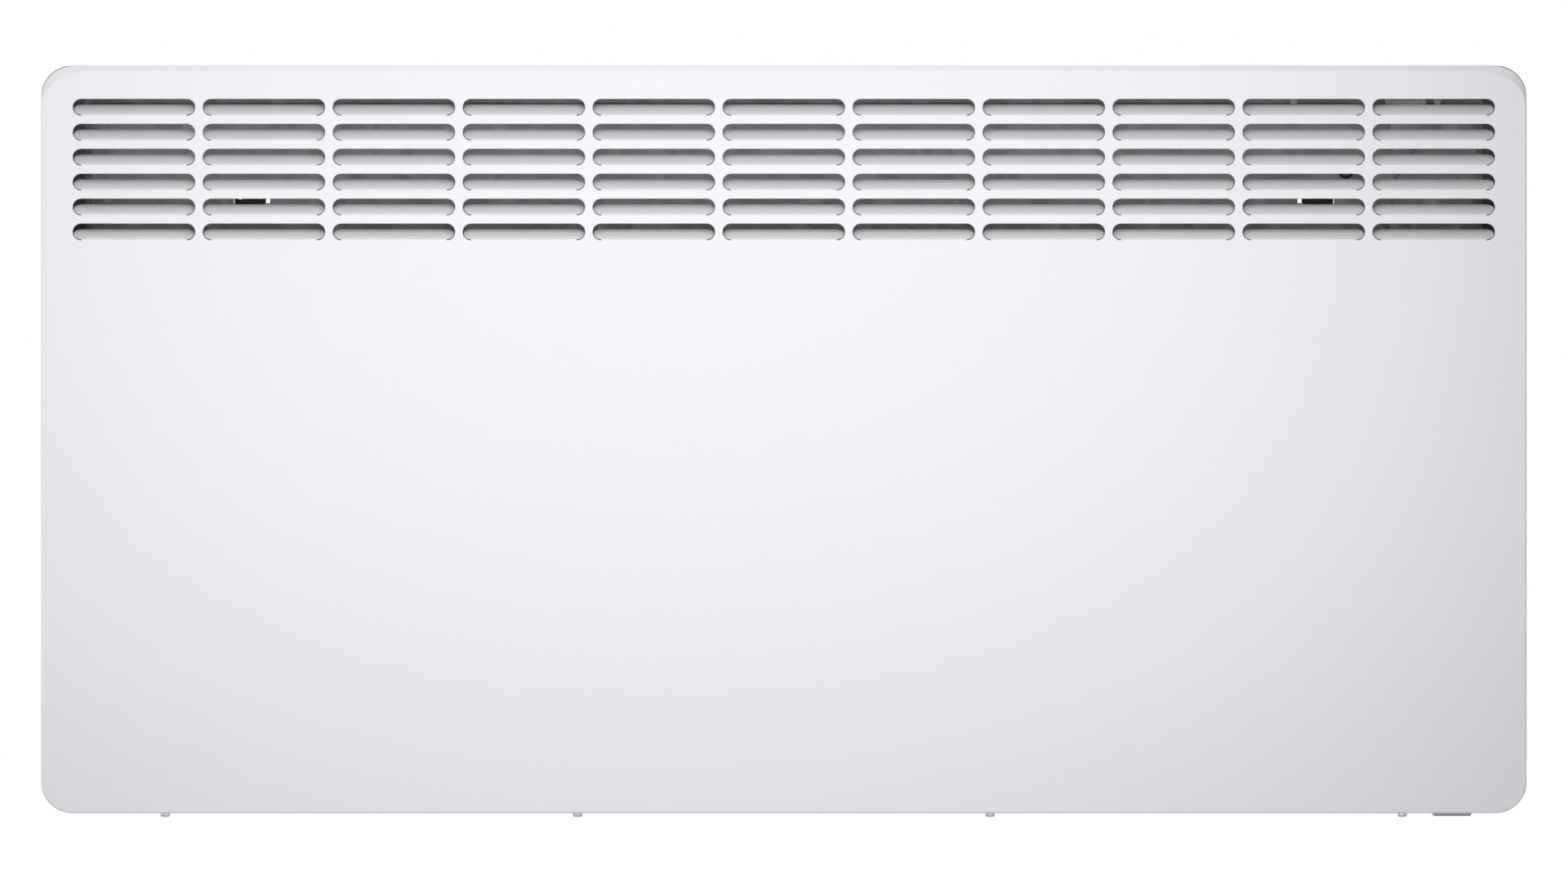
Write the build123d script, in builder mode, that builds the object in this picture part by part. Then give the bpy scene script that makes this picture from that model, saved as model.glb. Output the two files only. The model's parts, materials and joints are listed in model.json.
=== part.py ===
from build123d import *
import os
from math import cos, radians, sin

# Wall panel convector heater on its wall bracket, in millimetres. +Z is up, +X is to the
# right as seen from the front, and the front faces -Y. The wall is the plane y = 0, and the
# origin is the middle of the four wall screws, at half the casing's height.

os.makedirs("parts", exist_ok=True)

# Casing
casing_width = 894.0
casing_height = 450.0
casing_depth = 78.0
wall_gap = 22.0  # from the wall to the back of the casing
corner_radius = 19.0
sheet = 0.8  # sheet steel of the casing and the rear panel
edge_radius = 0.8
side_facet = 1.0  # width of the facet round the front along the sides and below
top_facet = 3.2
top_facet_reach = 30.0  # the facet's inner line rounds each top corner as a quarter ellipse
top_facet_drop = 19.7
facet_setback = 1.6
front_lip = 12.0  # the bottom wall's depth behind the front
closed_bottom = 62.0  # at each side, the bottom wall runs back to the rear
rear_flange = 24.8
top_rear_flange = 19.0

# Louvres
louvre_columns = 11
louvre_rows = 6
louvre_pitch_x = 78.2
louvre_pitch_z = 15.0
louvre_length = 73.6
louvre_height = 10.0
louvre_top_margin = 25.2  # from the casing's top to the first row's middle
louvre_angle = 50.0  # of each tab from the vertical
louvre_bend = 0.6  # inside radius of the tab's bend
louvre_kerf = 0.55
louvre_tab_flat = 0.15  # straight edge between the tab's round corners at each end

# Rear panel
trench = 3.3  # gap seen between the rear panel's step and the casing's flange
rear_step = 3.2  # the panel's face lies this far in front of its lips
rear_lip = 15.1
rear_lip_start = 11.0  # above the bottom
rear_bottom_flange = 9.0
side_band = 12.0
side_band_from_step = 9.8
side_band_height = 0.7
side_band_margin = 32.5  # from the casing's top and bottom
swage_length = 500.0
swage_width = 14.0
swage_height = 1.2
swage_levels = (45.0, -95.0)
boss_from_side = 107.3
boss_from_top = 63.0
boss_radius = 5.6
boss_hole = 3.4
boss_height = 1.2

# Wall bracket
upright_from_side = 125.5  # from the casing's side to an upright's middle and its wall screws
wall_screw_spacing_z = 250.0
wall_slot_width = 5.5
wall_slot_length = 12.0
bracket_sheet = 1.5
upright_width = 30.0
upright_below_window = 1.3
upright_below_edge = 12.0  # below the heater's hanging edge
flange_above_edge = 12.0
panel_rest_gap = 0.4  # between the upright's flanges and the rear panel
crossbar_height = 25.0
crossbar_below_top = 20.5
rivet_radius = 2.0
rivet_head_radius = 3.6
rivet_head_height = 1.2
rivet_spacing = 13.0

# Lower hooks and the heater's hanging edge
hook_width = 16.0
hook_sheet = 2.0
hook_tip_gap = 3.0  # between the rear panel's face and the hook's turned-up tip
hook_tip_height = 6.3
seat_clearance = 0.3
hanging_edge_from_bottom = 45.0
hook_slot_width = 22.0
hook_slot_height = 12.0

# Top catches
window_width = 22.0
window_height = 10.0
window_from_top = 82.2  # the window's lower edge below the casing's top
catch_width = 19.1
catch_offset = 0.95  # each catch sits a little towards the side of its window
catch_drop = 1.2  # below the window's lower edge
catch_height = 13.8
catch_depth = 5.5
catch_mouth_width = 14.0
catch_mouth_height = 4.8
catch_corner = 1.6
catch_plug_height = 3.2
tongue_width = 12.0
tongue_above_window = 5.4  # its upper side above the window's lower edge
tongue_past_catch = 2.0

# Fasteners
strap_count = 4
strap_from_side = 74.7
strap_width = 18.0
strap_sheet = 1.5
strap_screw_setback = 6.0
screw_radius = 1.6
screw_clearance = 0.4
pan_head_radius = 2.83
pan_head_height = 2.2
pan_screw_length = 6.0
recess_length = 3.2
recess_width = 0.7
recess_depth = 1.2
rear_screw_rows = 4
rear_screw_margin = 25.0
rear_screw_columns = 3
rear_screw_spacing = 255.0
rear_screw_inset = 5.5
rear_screw_length = 5.0

# Heating element
element_setback = 38.0  # of its middle plane behind the front
element_level = 85.0  # of its middle above the bottom
leg_spacing = 40.0
tube_radius = 4.25
fin_radius = 13.0
fin_thickness = 0.5
fin_pitch = 6.0
fin_sleeve = 0.9
fin_end_margin = 12.0
bracket_from_side = 67.0
bracket_from_box = 32.0
element_bracket_sheet = 1.0
element_bracket_flange = 12.0
element_bracket_bottom = 40.0
element_bracket_top = 140.0
tube_end = 9.0  # beyond the right bracket
bush_radius = 7.5
bush_length = 6.0
bush_flange_radius = 9.5
bush_flange = 1.5
bend_from_bush = 2.0
terminal_radius = 1.3
terminal_length = 8.0
insulator_radius = 3.0
insulator_length = 3.0
tube_clearance = 0.1
shield_sheet = 0.8
shield_hem = 3.0
shield_end_margin = 1.0  # of the front shield inside the brackets' flanges
front_shield_setback = 13.2
front_shield_top = 170.0
rear_shield_gap = 10.2
rear_shield_bottom = 60.0
rear_shield_top = 165.0
shield_screw_radius = 2.9
shield_screw_head = 1.8
shield_screw_from_end = 5.0
shield_screw_from_edge = 12.0

# Safety cut-out on the rear heat shield
cutout_from_box = 102.0
cutout_from_top = 10.0
cutout_radius = 8.0
cutout_height = 7.0
cutout_blade_spacing = 8.0
cutout_blade_length = 6.0
cutout_blade_root = 1.0  # inside the cut-out's body
lead_radius = 1.4
lead_bend = 8.0
lead_spacing = 6.0
lead_turn_gap = 12.0  # from the power box to the nearer lead's upright run
lead_entry_drop = 10.0  # from the power box's top to the upper lead's entry

# Power box
box_from_side = 61.0
box_width = 84.0
box_height = 127.4
box_wall = 2.0
box_front_setback = 16.0
box_rear_gap = 12.0
box_foot_radius = 4.0
box_foot_margin = 9.0
box_foot_spacing = 33.0
cover_sheet = 2.0
board_thickness = 1.6
board_margin = 4.0
board_standoff = 6.4
standoff_radius = 3.0
relay_size = (20.0, 15.6, 28.0)
heat_sink_size = (33.0, 26.0, 45.0)
heat_sink_fins = 6
heat_sink_fin = 1.6
heat_sink_base = 4.0
terminal_block_size = (18.0, 22.0, 56.0)
terminal_ways = 5
terminal_screw_radius = 3.0
terminal_screw_depth = 5.5
suppressor_size = (26.0, 9.0, 15.0)
component_margin = 4.0  # from the board's edges
component_fillet = 0.6
gland_bore = 4.2
gland_radius = 7.0
gland_flange_radius = 9.5
gland_flange = 2.2
gland_length = 18.0
gland_from_box_left = 26.0
gland_from_box_rear = 24.0

# Mains switch
switch_from_side = 44.2
switch_setback = 40.0
switch_width = 19.0
switch_length = 27.0
switch_height = 22.0
bezel_width = 23.5
bezel_length = 31.0
bezel_height = 2.0
bezel_slant = 0.75
rocker_width = 14.0
rocker_half_length = 10.2
rocker_gap = 0.6
rocker_pivot_height = 6.5
rocker_end_depth = 6.8
rocker_middle_depth = 5.0
rocker_crown = 3.5
rocker_tilt = 8.0
rocker_shoulder = 1.7  # the rocker's top is this much shorter than its face at each end
axle_radius = 1.5
axle_clearance = 0.06
axle_hole_depth = 1.6
axle_end_gap = 0.2
blade_width = 6.3
blade_thickness = 0.8
blade_length = 8.0

# Control unit in the top wall
control_from_side = 96.7
control_setback = 34.0
control_width = 96.6
control_depth = 43.8
control_gap = 0.3
control_flange = 3.5
control_flange_thickness = 1.6
control_height = 18.0
control_wall = 2.0
deck_thickness = 2.8
base_thickness = 1.8
tab_from_middle = 43.3
tab_width_top = 5.3
tab_width_bottom = 4.2
tab_height = 3.6
tab_thickness = 2.0
control_board_height = 5.0
window_size = (46.0, 26.0)
window_recess = 1.4
window_from_left = 30.0
display_height = 6.5
key_size = 10.0
key_corner = 2.0
key_gap = 0.3
key_flange = 1.2
key_flange_thickness = 1.2
key_travel = 0.5
key_spacing = 15.0
keys_from_right = 23.0
switch_can = 6.0
switch_can_height = 3.5
plunger_radius = 1.75
plunger_gap = 0.1  # left between flange and plunger when a key is pressed home

# Ribbon cable
ribbon_width = 18.8
ribbon_thickness = 0.9
ribbon_from_control = 24.6
ribbon_fold_from_top = 39.0
ribbon_fold_height = 24.0
ribbon_fold_shift = -7.4
ribbon_foot_shift = -29.9
connector_width = 24.8
connector_ear = 3.0
connector_ear_drop = 3.0
connector_drop = 1.8
connector_depth = 8.0
plug_height = 10.0
ribbon_fold_steps = 4

# Room sensor
sensor_radius = 2.5
sensor_length = 15.0
sensor_tip_radius = 2.0
sensor_stand = 1.0  # above its clip
sensor_clearance = 0.15
sensor_clip_size = (12.0, 10.0, 8.0)
sensor_clip_level = 12.0
sensor_from_box_front = 8.0
sensor_lead_radius = 1.0
sensor_lead_rise = 14.0
sensor_lead_bend = 4.0

# Earth
earth_from_box_left = 58.0
earth_above_box = 35.0
earth_from_face = 24.0
earth_screw_radius = 2.0
earth_head_radius = 4.0
earth_head_height = 2.6
earth_ring_radius = 5.0
earth_ring = 0.8

# Worked out from the sizes above
side_x = casing_width / 2
top_z = casing_height / 2
bottom_z = -top_z
rear_y = -wall_gap
front_y = rear_y - casing_depth
panel_back_y = front_y + sheet
lip_y = front_y + front_lip
face_back_y = rear_y - rear_step  # back of the rear panel's main face
face_front_y = face_back_y - sheet
flange_x = side_x - rear_flange
face_x = flange_x - trench
upright_x = side_x - upright_from_side
hanging_edge_z = bottom_z + hanging_edge_from_bottom
window_bottom = top_z - window_from_top
boss_x = side_x - boss_from_side
boss_z = top_z - boss_from_top


def block(x_span, y_span, z_span, mode=Mode.ADD):
    """Adds a box that lies between two values on each axis."""
    spans = (x_span, y_span, z_span)
    with Locations(tuple(sum(span) / 2 for span in spans)):
        Box(*(max(span) - min(span) for span in spans), mode=mode)


def rod(start, direction, radius, length, mode=Mode.ADD):
    """Adds a cylinder that starts at a point and runs along a direction."""
    with Locations(Plane(origin=start, z_dir=direction)):
        Cylinder(radius, length, align=(Align.CENTER, Align.CENTER, Align.MIN), mode=mode)


def middle(centre, size):
    """The span of a size about its centre."""
    return (centre - size / 2, centre + size / 2)


def draw_outline(side_inset, top_inset, low_inset, reach, drop, low_radius):
    """Draws the casing's front outline, set in from its sides, top and bottom."""
    right = side_x - side_inset
    top = top_z - top_inset
    low = bottom_z + low_inset
    upper_right = EllipticalCenterArc((right - reach, top - drop), reach, drop, arc_size=90)
    upper_left = EllipticalCenterArc(
        (reach - right, top - drop), reach, drop, start_angle=90, arc_size=90
    )
    lower_left = CenterArc((low_radius - right, low + low_radius), low_radius, 180, 90)
    lower_right = CenterArc((right - low_radius, low + low_radius), low_radius, 270, 90)
    Line(upper_right @ 1, upper_left @ 0)
    Line(upper_left @ 1, lower_left @ 0)
    Line(lower_left @ 1, lower_right @ 0)
    Line(lower_right @ 1, upper_right @ 0)


outer_line = (0, 0, 0, corner_radius, corner_radius, corner_radius)
inner_radius = corner_radius - sheet
cavity_line = (sheet, sheet, sheet, inner_radius, inner_radius, inner_radius)
panel_line = (
    side_facet,
    top_facet,
    side_facet,
    top_facet_reach,
    top_facet_drop,
    corner_radius - side_facet,
)

# The straps, their screws and the hooks stand on these lines
strap_pitch = 2 * (side_x - strap_from_side) / (strap_count - 1)
strap_columns = [(index - (strap_count - 1) / 2) * strap_pitch for index in range(strap_count)]
strap_screw_y = front_y + strap_screw_setback
strap_bottom = bottom_z + sheet
strap_top = strap_bottom + strap_sheet

# ---------------------------------------------------------------- front panel
# Flat steel sheet. Each louvre is a lanced tab, bent inwards on its straight lower edge.

louvre_middle_z = top_z - louvre_top_margin - (louvre_rows - 1) / 2 * louvre_pitch_z
bend_outside = louvre_bend + sheet
bend_turn = radians(louvre_angle)
bend_end = (sheet + louvre_bend - louvre_bend * cos(bend_turn), louvre_bend * sin(bend_turn))
bend_length = (louvre_bend + sheet / 2) * bend_turn
tab_length = louvre_length - 2 * louvre_kerf
tab_height_flat = louvre_height - louvre_kerf - bend_length
tab_corner = (tab_height_flat - louvre_tab_flat) / 2
sector_reach = 3 * bend_outside  # past the bend's outside

with BuildPart() as louvre_tab:
    with BuildSketch(Plane.YZ) as bend_profile:
        with Locations((sheet + louvre_bend, 0)):
            Circle(bend_outside)
            Circle(louvre_bend, mode=Mode.SUBTRACT)
        with BuildLine():
            Polyline(
                (sheet + louvre_bend, 0),
                (sheet + louvre_bend - sector_reach, 0),
                (
                    sheet + louvre_bend - sector_reach * cos(bend_turn),
                    sector_reach * sin(bend_turn),
                ),
                close=True,
            )
        make_face(mode=Mode.INTERSECT)
    extrude(amount=tab_length / 2 - tab_corner, both=True)
    flap_plane = Plane(
        origin=(0, bend_end[0], bend_end[1]),
        x_dir=(1, 0, 0),
        z_dir=(0, -cos(bend_turn), sin(bend_turn)),
    )
    with BuildSketch(flap_plane):
        with Locations((0, tab_height_flat / 2)):
            RectangleRounded(tab_length, tab_height_flat, tab_corner)
    extrude(amount=sheet)

with BuildPart() as front_panel:
    with BuildSketch(Plane.XZ.offset(-panel_back_y)):
        with BuildLine():
            draw_outline(*panel_line)
        make_face()
        with Locations((0, louvre_middle_z)):
            with GridLocations(louvre_pitch_x, louvre_pitch_z, louvre_columns, louvre_rows):
                SlotOverall(louvre_length, louvre_height, mode=Mode.SUBTRACT)
    extrude(amount=sheet)
    hinge_z = louvre_middle_z - louvre_height / 2
    with Locations(
        [
            (
                (column - (louvre_columns - 1) / 2) * louvre_pitch_x,
                front_y,
                hinge_z + (row - (louvre_rows - 1) / 2) * louvre_pitch_z,
            )
            for column in range(louvre_columns)
            for row in range(louvre_rows)
        ]
    ):
        add(louvre_tab.part)
front_panel.part.label = "front_panel"
export_step(front_panel.part, "parts/front_panel.step")

# --------------------------------------------------------------- casing shell
# Drawn steel rim: a shallow facet round the front panel, the side and top walls, a lip along
# the bottom and flanges turned in at the rear. The control unit and the mains switch have
# their cut-outs in its top and bottom walls.

control_x = side_x - control_from_side
control_y = front_y + control_setback
switch_x = side_x - switch_from_side
switch_y = front_y + switch_setback
open_bottom_x = side_x - closed_bottom
rear_lip_x = face_x + rear_lip
rear_top_z = top_z - top_rear_flange
face_top_z = rear_top_z - trench
rear_lip_low = bottom_z + rear_lip_start
rear_lip_high = rear_top_z + top_rear_flange / 2
rear_screw_x = rear_lip_x - rear_screw_inset
rear_screw_low = rear_lip_low + rear_screw_margin
rear_screw_step = (rear_top_z - rear_screw_margin - rear_screw_low) / (rear_screw_rows - 1)
rear_screw_places = [
    (side * rear_screw_x, rear_screw_low + row * rear_screw_step)
    for side in (-1, 1)
    for row in range(rear_screw_rows)
]
rear_screw_places += [
    ((column - (rear_screw_columns - 1) / 2) * rear_screw_spacing, rear_lip_high - rear_screw_inset)
    for column in range(rear_screw_columns)
]

with BuildPart() as casing_shell:
    with BuildSketch(Plane.XZ.offset(-rear_y)):
        with BuildLine():
            draw_outline(*outer_line)
        make_face()
    extrude(amount=casing_depth - facet_setback)
    with BuildSketch(Plane.XZ.offset(-front_y - facet_setback)):
        with BuildLine():
            draw_outline(*outer_line)
        make_face()
    with BuildSketch(Plane.XZ.offset(-front_y)):
        with BuildLine():
            draw_outline(*panel_line)
        make_face()
    loft(ruled=True)
    facet_y = front_y + facet_setback
    fillet(
        casing_shell.edges().filter_by_position(Axis.Y, facet_y - 0.01, facet_y + 0.01),
        edge_radius,
    )
    with BuildSketch(Plane.XZ.offset(sheet - rear_y)):
        with BuildLine():
            draw_outline(*cavity_line)
        make_face()
    extrude(amount=casing_depth - facet_setback - 2 * sheet, mode=Mode.SUBTRACT)
    with BuildSketch(Plane.XZ.offset(sheet - rear_y)):
        with BuildLine():
            draw_outline(*panel_line)
        make_face()
    extrude(amount=casing_depth, mode=Mode.SUBTRACT)
    block((-flange_x, flange_x), middle(rear_y, 4 * sheet), (bottom_z, rear_top_z), Mode.SUBTRACT)
    block(
        (-open_bottom_x, open_bottom_x),
        (lip_y, rear_y + sheet),
        middle(bottom_z, 4 * sheet),
        Mode.SUBTRACT,
    )
    block(
        middle(control_x, control_width),
        middle(control_y, control_depth),
        middle(top_z, 4 * sheet),
        Mode.SUBTRACT,
    )
    block(
        middle(switch_x, switch_width + 2 * seat_clearance),
        middle(switch_y, switch_length + 2 * seat_clearance),
        middle(bottom_z, 4 * sheet),
        Mode.SUBTRACT,
    )
    for x in strap_columns:
        rod((x, strap_screw_y, bottom_z - sheet), (0, 0, 1), screw_radius + screw_clearance,
            3 * sheet, Mode.SUBTRACT)
    for x, z in rear_screw_places:
        rod((x, rear_y - 2 * sheet, z), (0, 1, 0), screw_radius, 3 * sheet, Mode.SUBTRACT)
casing_shell.part.label = "casing_shell"
export_step(casing_shell.part, "parts/casing_shell.step")

# ----------------------------------------------------------------- rear panel
# Sheet steel. Its face stands a step in front of the lips, which are screwed behind the
# casing's flanges. It has the catch windows, the slots that hang in the bracket's hooks,
# pressed bands and swages, and a flange forward along the bottom.

hook_slot_z = (hanging_edge_z - hook_slot_height, hanging_edge_z)
face_depth = (face_front_y - 2 * sheet, face_back_y + 2 * sheet)
band_outer_x = face_x - side_band_from_step
band_inner_x = band_outer_x - side_band
band_z = (bottom_z + side_band_margin, top_z - side_band_margin)
box_right_x = side_x - box_from_side
box_left_x = box_right_x - box_width
box_bottom_z = strap_top + seat_clearance
box_top_z = box_bottom_z + box_height
foot_places = [
    (box_right_x - box_foot_margin - step * box_foot_spacing, z)
    for step in (0, 1)
    for z in (box_bottom_z + box_foot_margin, box_top_z - box_foot_margin)
]
earth_x = box_left_x + earth_from_box_left
earth_z = box_top_z + earth_above_box

with BuildPart() as rear_panel:
    block((-face_x, face_x), (face_front_y, face_back_y), (strap_bottom, face_top_z))
    for side in (-1, 1):
        step_x = (side * (face_x - sheet), side * face_x)
        lip_x = (side * (face_x - sheet), side * rear_lip_x)
        band_x = (side * band_inner_x, side * band_outer_x)
        hollow_x = (side * (band_inner_x + sheet), side * (band_outer_x - sheet))
        block(step_x, (face_front_y, rear_y + sheet), (rear_lip_low, face_top_z))
        block(lip_x, (rear_y, rear_y + sheet), (rear_lip_low, rear_lip_high))
        block(band_x, (face_front_y - side_band_height, face_front_y), band_z)
        block(hollow_x, (face_back_y - side_band_height, face_back_y),
              (band_z[0] + sheet, band_z[1] - sheet), Mode.SUBTRACT)
    block((-face_x, face_x), (face_front_y, rear_y + sheet), (face_top_z - sheet, face_top_z))
    block((-rear_lip_x, rear_lip_x), (rear_y, rear_y + sheet), (face_top_z - sheet, rear_lip_high))
    block((-open_bottom_x + seat_clearance, open_bottom_x - seat_clearance),
          (face_front_y - rear_bottom_flange, face_back_y), (bottom_z, strap_bottom))
    with BuildSketch(Plane.XZ.offset(-face_back_y)):
        with Locations(*((0, level) for level in swage_levels)):
            SlotOverall(swage_length, swage_width)
    extrude(amount=-swage_height)
    with BuildSketch(Plane.XZ.offset(-face_front_y)):
        with Locations(*((0, level) for level in swage_levels)):
            SlotOverall(swage_length - 2 * sheet, swage_width - 2 * sheet)
    extrude(amount=-swage_height, mode=Mode.SUBTRACT)
    rod((boss_x, face_front_y, boss_z), (0, -1, 0), boss_radius, boss_height)
    rod((boss_x, face_front_y, boss_z), (0, -1, 0), boss_hole, boss_height, Mode.SUBTRACT)
    for side in (-1, 1):
        slot_x = middle(side * upright_x, window_width)
        block(slot_x, face_depth, (window_bottom, window_bottom + window_height), Mode.SUBTRACT)
        slot_x = middle(side * upright_x, hook_slot_width)
        block(slot_x, face_depth, hook_slot_z, Mode.SUBTRACT)
    for x, z in rear_screw_places:
        rod((x, rear_y - sheet, z), (0, 1, 0), screw_radius, 3 * sheet, Mode.SUBTRACT)
    for x, z in foot_places:
        rod((x, face_front_y - sheet, z), (0, 1, 0), screw_radius, 3 * sheet, Mode.SUBTRACT)
    rod((earth_x, face_front_y - sheet, earth_z), (0, 1, 0), earth_screw_radius, 3 * sheet,
        Mode.SUBTRACT)
rear_panel.part.label = "rear_panel"
export_step(rear_panel.part, "parts/rear_panel.step")

# ----------------------------------------------------- bottom straps and screws

with BuildPart() as bottom_straps:
    for x in strap_columns:
        block(middle(x, strap_width), (front_y + strap_screw_setback / 2, face_front_y - sheet),
              (strap_bottom, strap_top))
        rod((x, strap_screw_y, strap_bottom), (0, 0, 1), screw_radius, strap_sheet, Mode.SUBTRACT)
bottom_straps.part.label = "bottom_straps"
export_step(bottom_straps.part, "parts/bottom_straps.step")


def pan_screw(shank_length):
    """A cross-recessed pan-head screw: its head hangs below z = 0, its shank stands above."""
    with BuildPart() as screw:
        rod((0, 0, 0), (0, 0, -1), pan_head_radius, pan_head_height)
        fillet(screw.edges().sort_by(Axis.Z)[0], pan_head_height / 2)
        rod((0, 0, 0), (0, 0, 1), screw_radius, shank_length)
        recess_z = (-pan_head_height, recess_depth - pan_head_height)
        block(middle(0, recess_length), middle(0, recess_width), recess_z, Mode.SUBTRACT)
        block(middle(0, recess_width), middle(0, recess_length), recess_z, Mode.SUBTRACT)
    return screw.part


with BuildPart() as bottom_screws:
    with Locations(*((x, strap_screw_y, bottom_z) for x in strap_columns)):
        add(pan_screw(pan_screw_length))
bottom_screws.part.label = "bottom_screws"
export_step(bottom_screws.part, "parts/bottom_screws.step")

with BuildPart() as rear_screws:
    with Locations(
        *(
            Plane(origin=(x, rear_y + sheet, z), x_dir=(1, 0, 0), z_dir=(0, -1, 0))
            for x, z in rear_screw_places
        ),
        *(
            Plane(origin=(x, face_back_y, z), x_dir=(1, 0, 0), z_dir=(0, -1, 0))
            for x, z in foot_places
        ),
    ):
        add(pan_screw(rear_screw_length))
rear_screws.part.label = "rear_screws"
export_step(rear_screws.part, "parts/rear_screws.step")

# --------------------------------------------------------------- wall catches
# Black plastic catch in each window of the rear panel. The bracket's tongue enters its mouth.

catch_x = upright_x + catch_offset
catch_low = window_bottom - catch_drop
plug_top = window_bottom + window_height - seat_clearance
tongue_top = window_bottom + tongue_above_window
tongue_z = (tongue_top - bracket_sheet, tongue_top)
catch_left, catch_right = BuildPart(), BuildPart()
for side, catch in ((-1, catch_left), (1, catch_right)):
    with catch:
        block(middle(side * catch_x, catch_width), (face_front_y - catch_depth, face_front_y),
              (catch_low, catch_low + catch_height))
        block(middle(side * catch_x, catch_width - 2 * seat_clearance),
              (face_front_y, face_back_y + sheet), (plug_top - catch_plug_height, plug_top))
        block(middle(side * catch_x, catch_mouth_width),
              (face_front_y - catch_depth, face_front_y),
              middle(sum(tongue_z) / 2, catch_mouth_height), Mode.SUBTRACT)
        chamfer(catch.edges().filter_by(Axis.Y).group_by(Axis.Z)[0], catch_corner)
catch_left.part.label = "catch_left"
export_step(catch_left.part, "parts/catch_left.step")
catch_right.part.label = "catch_right"
export_step(catch_right.part, "parts/catch_right.step")

# ------------------------------------------------------------ heating element
# A hairpin sheathed tube with two finned sleeves, carried at both ends by sheet brackets with
# ceramic bushes, between a heat shield in front and one behind.

element_y = front_y + element_setback
leg_levels = [bottom_z + element_level + turn * leg_spacing / 2 for turn in (-1, 1)]
left_bracket_x = bracket_from_side - side_x
right_bracket_x = box_left_x - bracket_from_box
tube_end_x = right_bracket_x + element_bracket_sheet + tube_end
bend_x = left_bracket_x - bush_length - bend_from_bush
element_bracket_z = (bottom_z + element_bracket_bottom, bottom_z + element_bracket_top)
front_shield_y = (front_y + front_shield_setback, front_y + front_shield_setback + shield_sheet)
rear_shield_y = (face_front_y - rear_shield_gap - shield_sheet, face_front_y - rear_shield_gap)

with BuildPart() as heating_tube:
    with BuildLine(Plane.XZ.offset(-element_y)) as hairpin:
        lower_leg = Line((tube_end_x, leg_levels[0]), (bend_x, leg_levels[0]))
        turn_back = CenterArc((bend_x, sum(leg_levels) / 2), leg_spacing / 2, 270, -180)
        Line(turn_back @ 1, (tube_end_x, leg_levels[1]))
    with BuildSketch(Plane(origin=hairpin.line @ 0, z_dir=hairpin.line % 0)):
        Circle(tube_radius)
    sweep(path=hairpin.line)
heating_tube.part.label = "heating_tube"
export_step(heating_tube.part, "parts/heating_tube.step")

fins_left = left_bracket_x + fin_end_margin
fins_right = right_bracket_x - fin_end_margin
fin_count = int((fins_right - fins_left) / fin_pitch)
fin_inner = tube_radius + tube_clearance
fin_start = (fins_left + fins_right - fin_count * fin_pitch) / 2
fin_points = [(fin_start, fin_inner), (fin_start, fin_inner + fin_sleeve)]
for index in range(fin_count):
    fin_middle = fin_start + (index + 0.5) * fin_pitch
    fin_points += [
        (fin_middle - fin_thickness / 2, fin_inner + fin_sleeve),
        (fin_middle - fin_thickness / 2, fin_radius),
        (fin_middle + fin_thickness / 2, fin_radius),
        (fin_middle + fin_thickness / 2, fin_inner + fin_sleeve),
    ]
fin_end = fin_start + fin_count * fin_pitch
fin_points += [(fin_end, fin_inner + fin_sleeve), (fin_end, fin_inner)]

with BuildPart() as heating_fins:
    for level in leg_levels:
        leg_plane = Plane(origin=(0, element_y, level), x_dir=(1, 0, 0), z_dir=(0, -1, 0))
        with BuildSketch(leg_plane):
            with BuildLine():
                Polyline(*fin_points, close=True)
            make_face()
        revolve(axis=Axis((0, element_y, level), (1, 0, 0)))
heating_fins.part.label = "heating_fins"
export_step(heating_fins.part, "parts/heating_fins.step")

element_bracket_left, element_bracket_right = BuildPart(), BuildPart()
for side, bracket_x, bracket in (
    (-1, left_bracket_x, element_bracket_left),
    (1, right_bracket_x, element_bracket_right),
):
    with bracket:
        flange_span = (bracket_x, bracket_x + side * element_bracket_flange)
        block((bracket_x, bracket_x + side * element_bracket_sheet),
              (front_shield_y[1], face_front_y), element_bracket_z)
        block(flange_span, (front_shield_y[1], front_shield_y[1] + element_bracket_sheet),
              element_bracket_z)
        block(flange_span, (face_front_y - element_bracket_sheet, face_front_y),
              element_bracket_z)
        for level in leg_levels:
            rod((bracket_x - side * element_bracket_sheet, element_y, level), (side, 0, 0),
                bush_radius, 3 * element_bracket_sheet, Mode.SUBTRACT)
element_bracket_left.part.label = "element_bracket_left"
export_step(element_bracket_left.part, "parts/element_bracket_left.step")
element_bracket_right.part.label = "element_bracket_right"
export_step(element_bracket_right.part, "parts/element_bracket_right.step")

with BuildPart() as element_bushes:
    for side, bracket_x in ((-1, left_bracket_x), (1, right_bracket_x)):
        for level in leg_levels:
            flange_start = bracket_x - side * bush_flange
            rod((flange_start, element_y, level), (side, 0, 0), bush_flange_radius, bush_flange)
            rod((bracket_x, element_y, level), (side, 0, 0), bush_radius, bush_length)
            rod((flange_start, element_y, level), (side, 0, 0), tube_radius + tube_clearance,
                bush_flange + bush_length, Mode.SUBTRACT)
element_bushes.part.label = "element_bushes"
export_step(element_bushes.part, "parts/element_bushes.step")

terminal_end_x = tube_end_x + insulator_length + terminal_length
with BuildPart() as element_terminals:
    for level in leg_levels:
        rod((tube_end_x, element_y, level), (1, 0, 0), insulator_radius, insulator_length)
        rod((tube_end_x + insulator_length, element_y, level), (1, 0, 0), terminal_radius,
            terminal_length)
element_terminals.part.label = "element_terminals"
export_step(element_terminals.part, "parts/element_terminals.step")

shield_overlap = element_bracket_flange - shield_end_margin
shield_x = (left_bracket_x - shield_overlap, right_bracket_x + shield_overlap)
shield_screw_columns = [shield_x[0] + shield_screw_from_end, shield_x[1] - shield_screw_from_end]
shield_screw_levels = [
    element_bracket_z[0] + shield_screw_from_edge,
    element_bracket_z[1] - shield_screw_from_edge,
]

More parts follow.
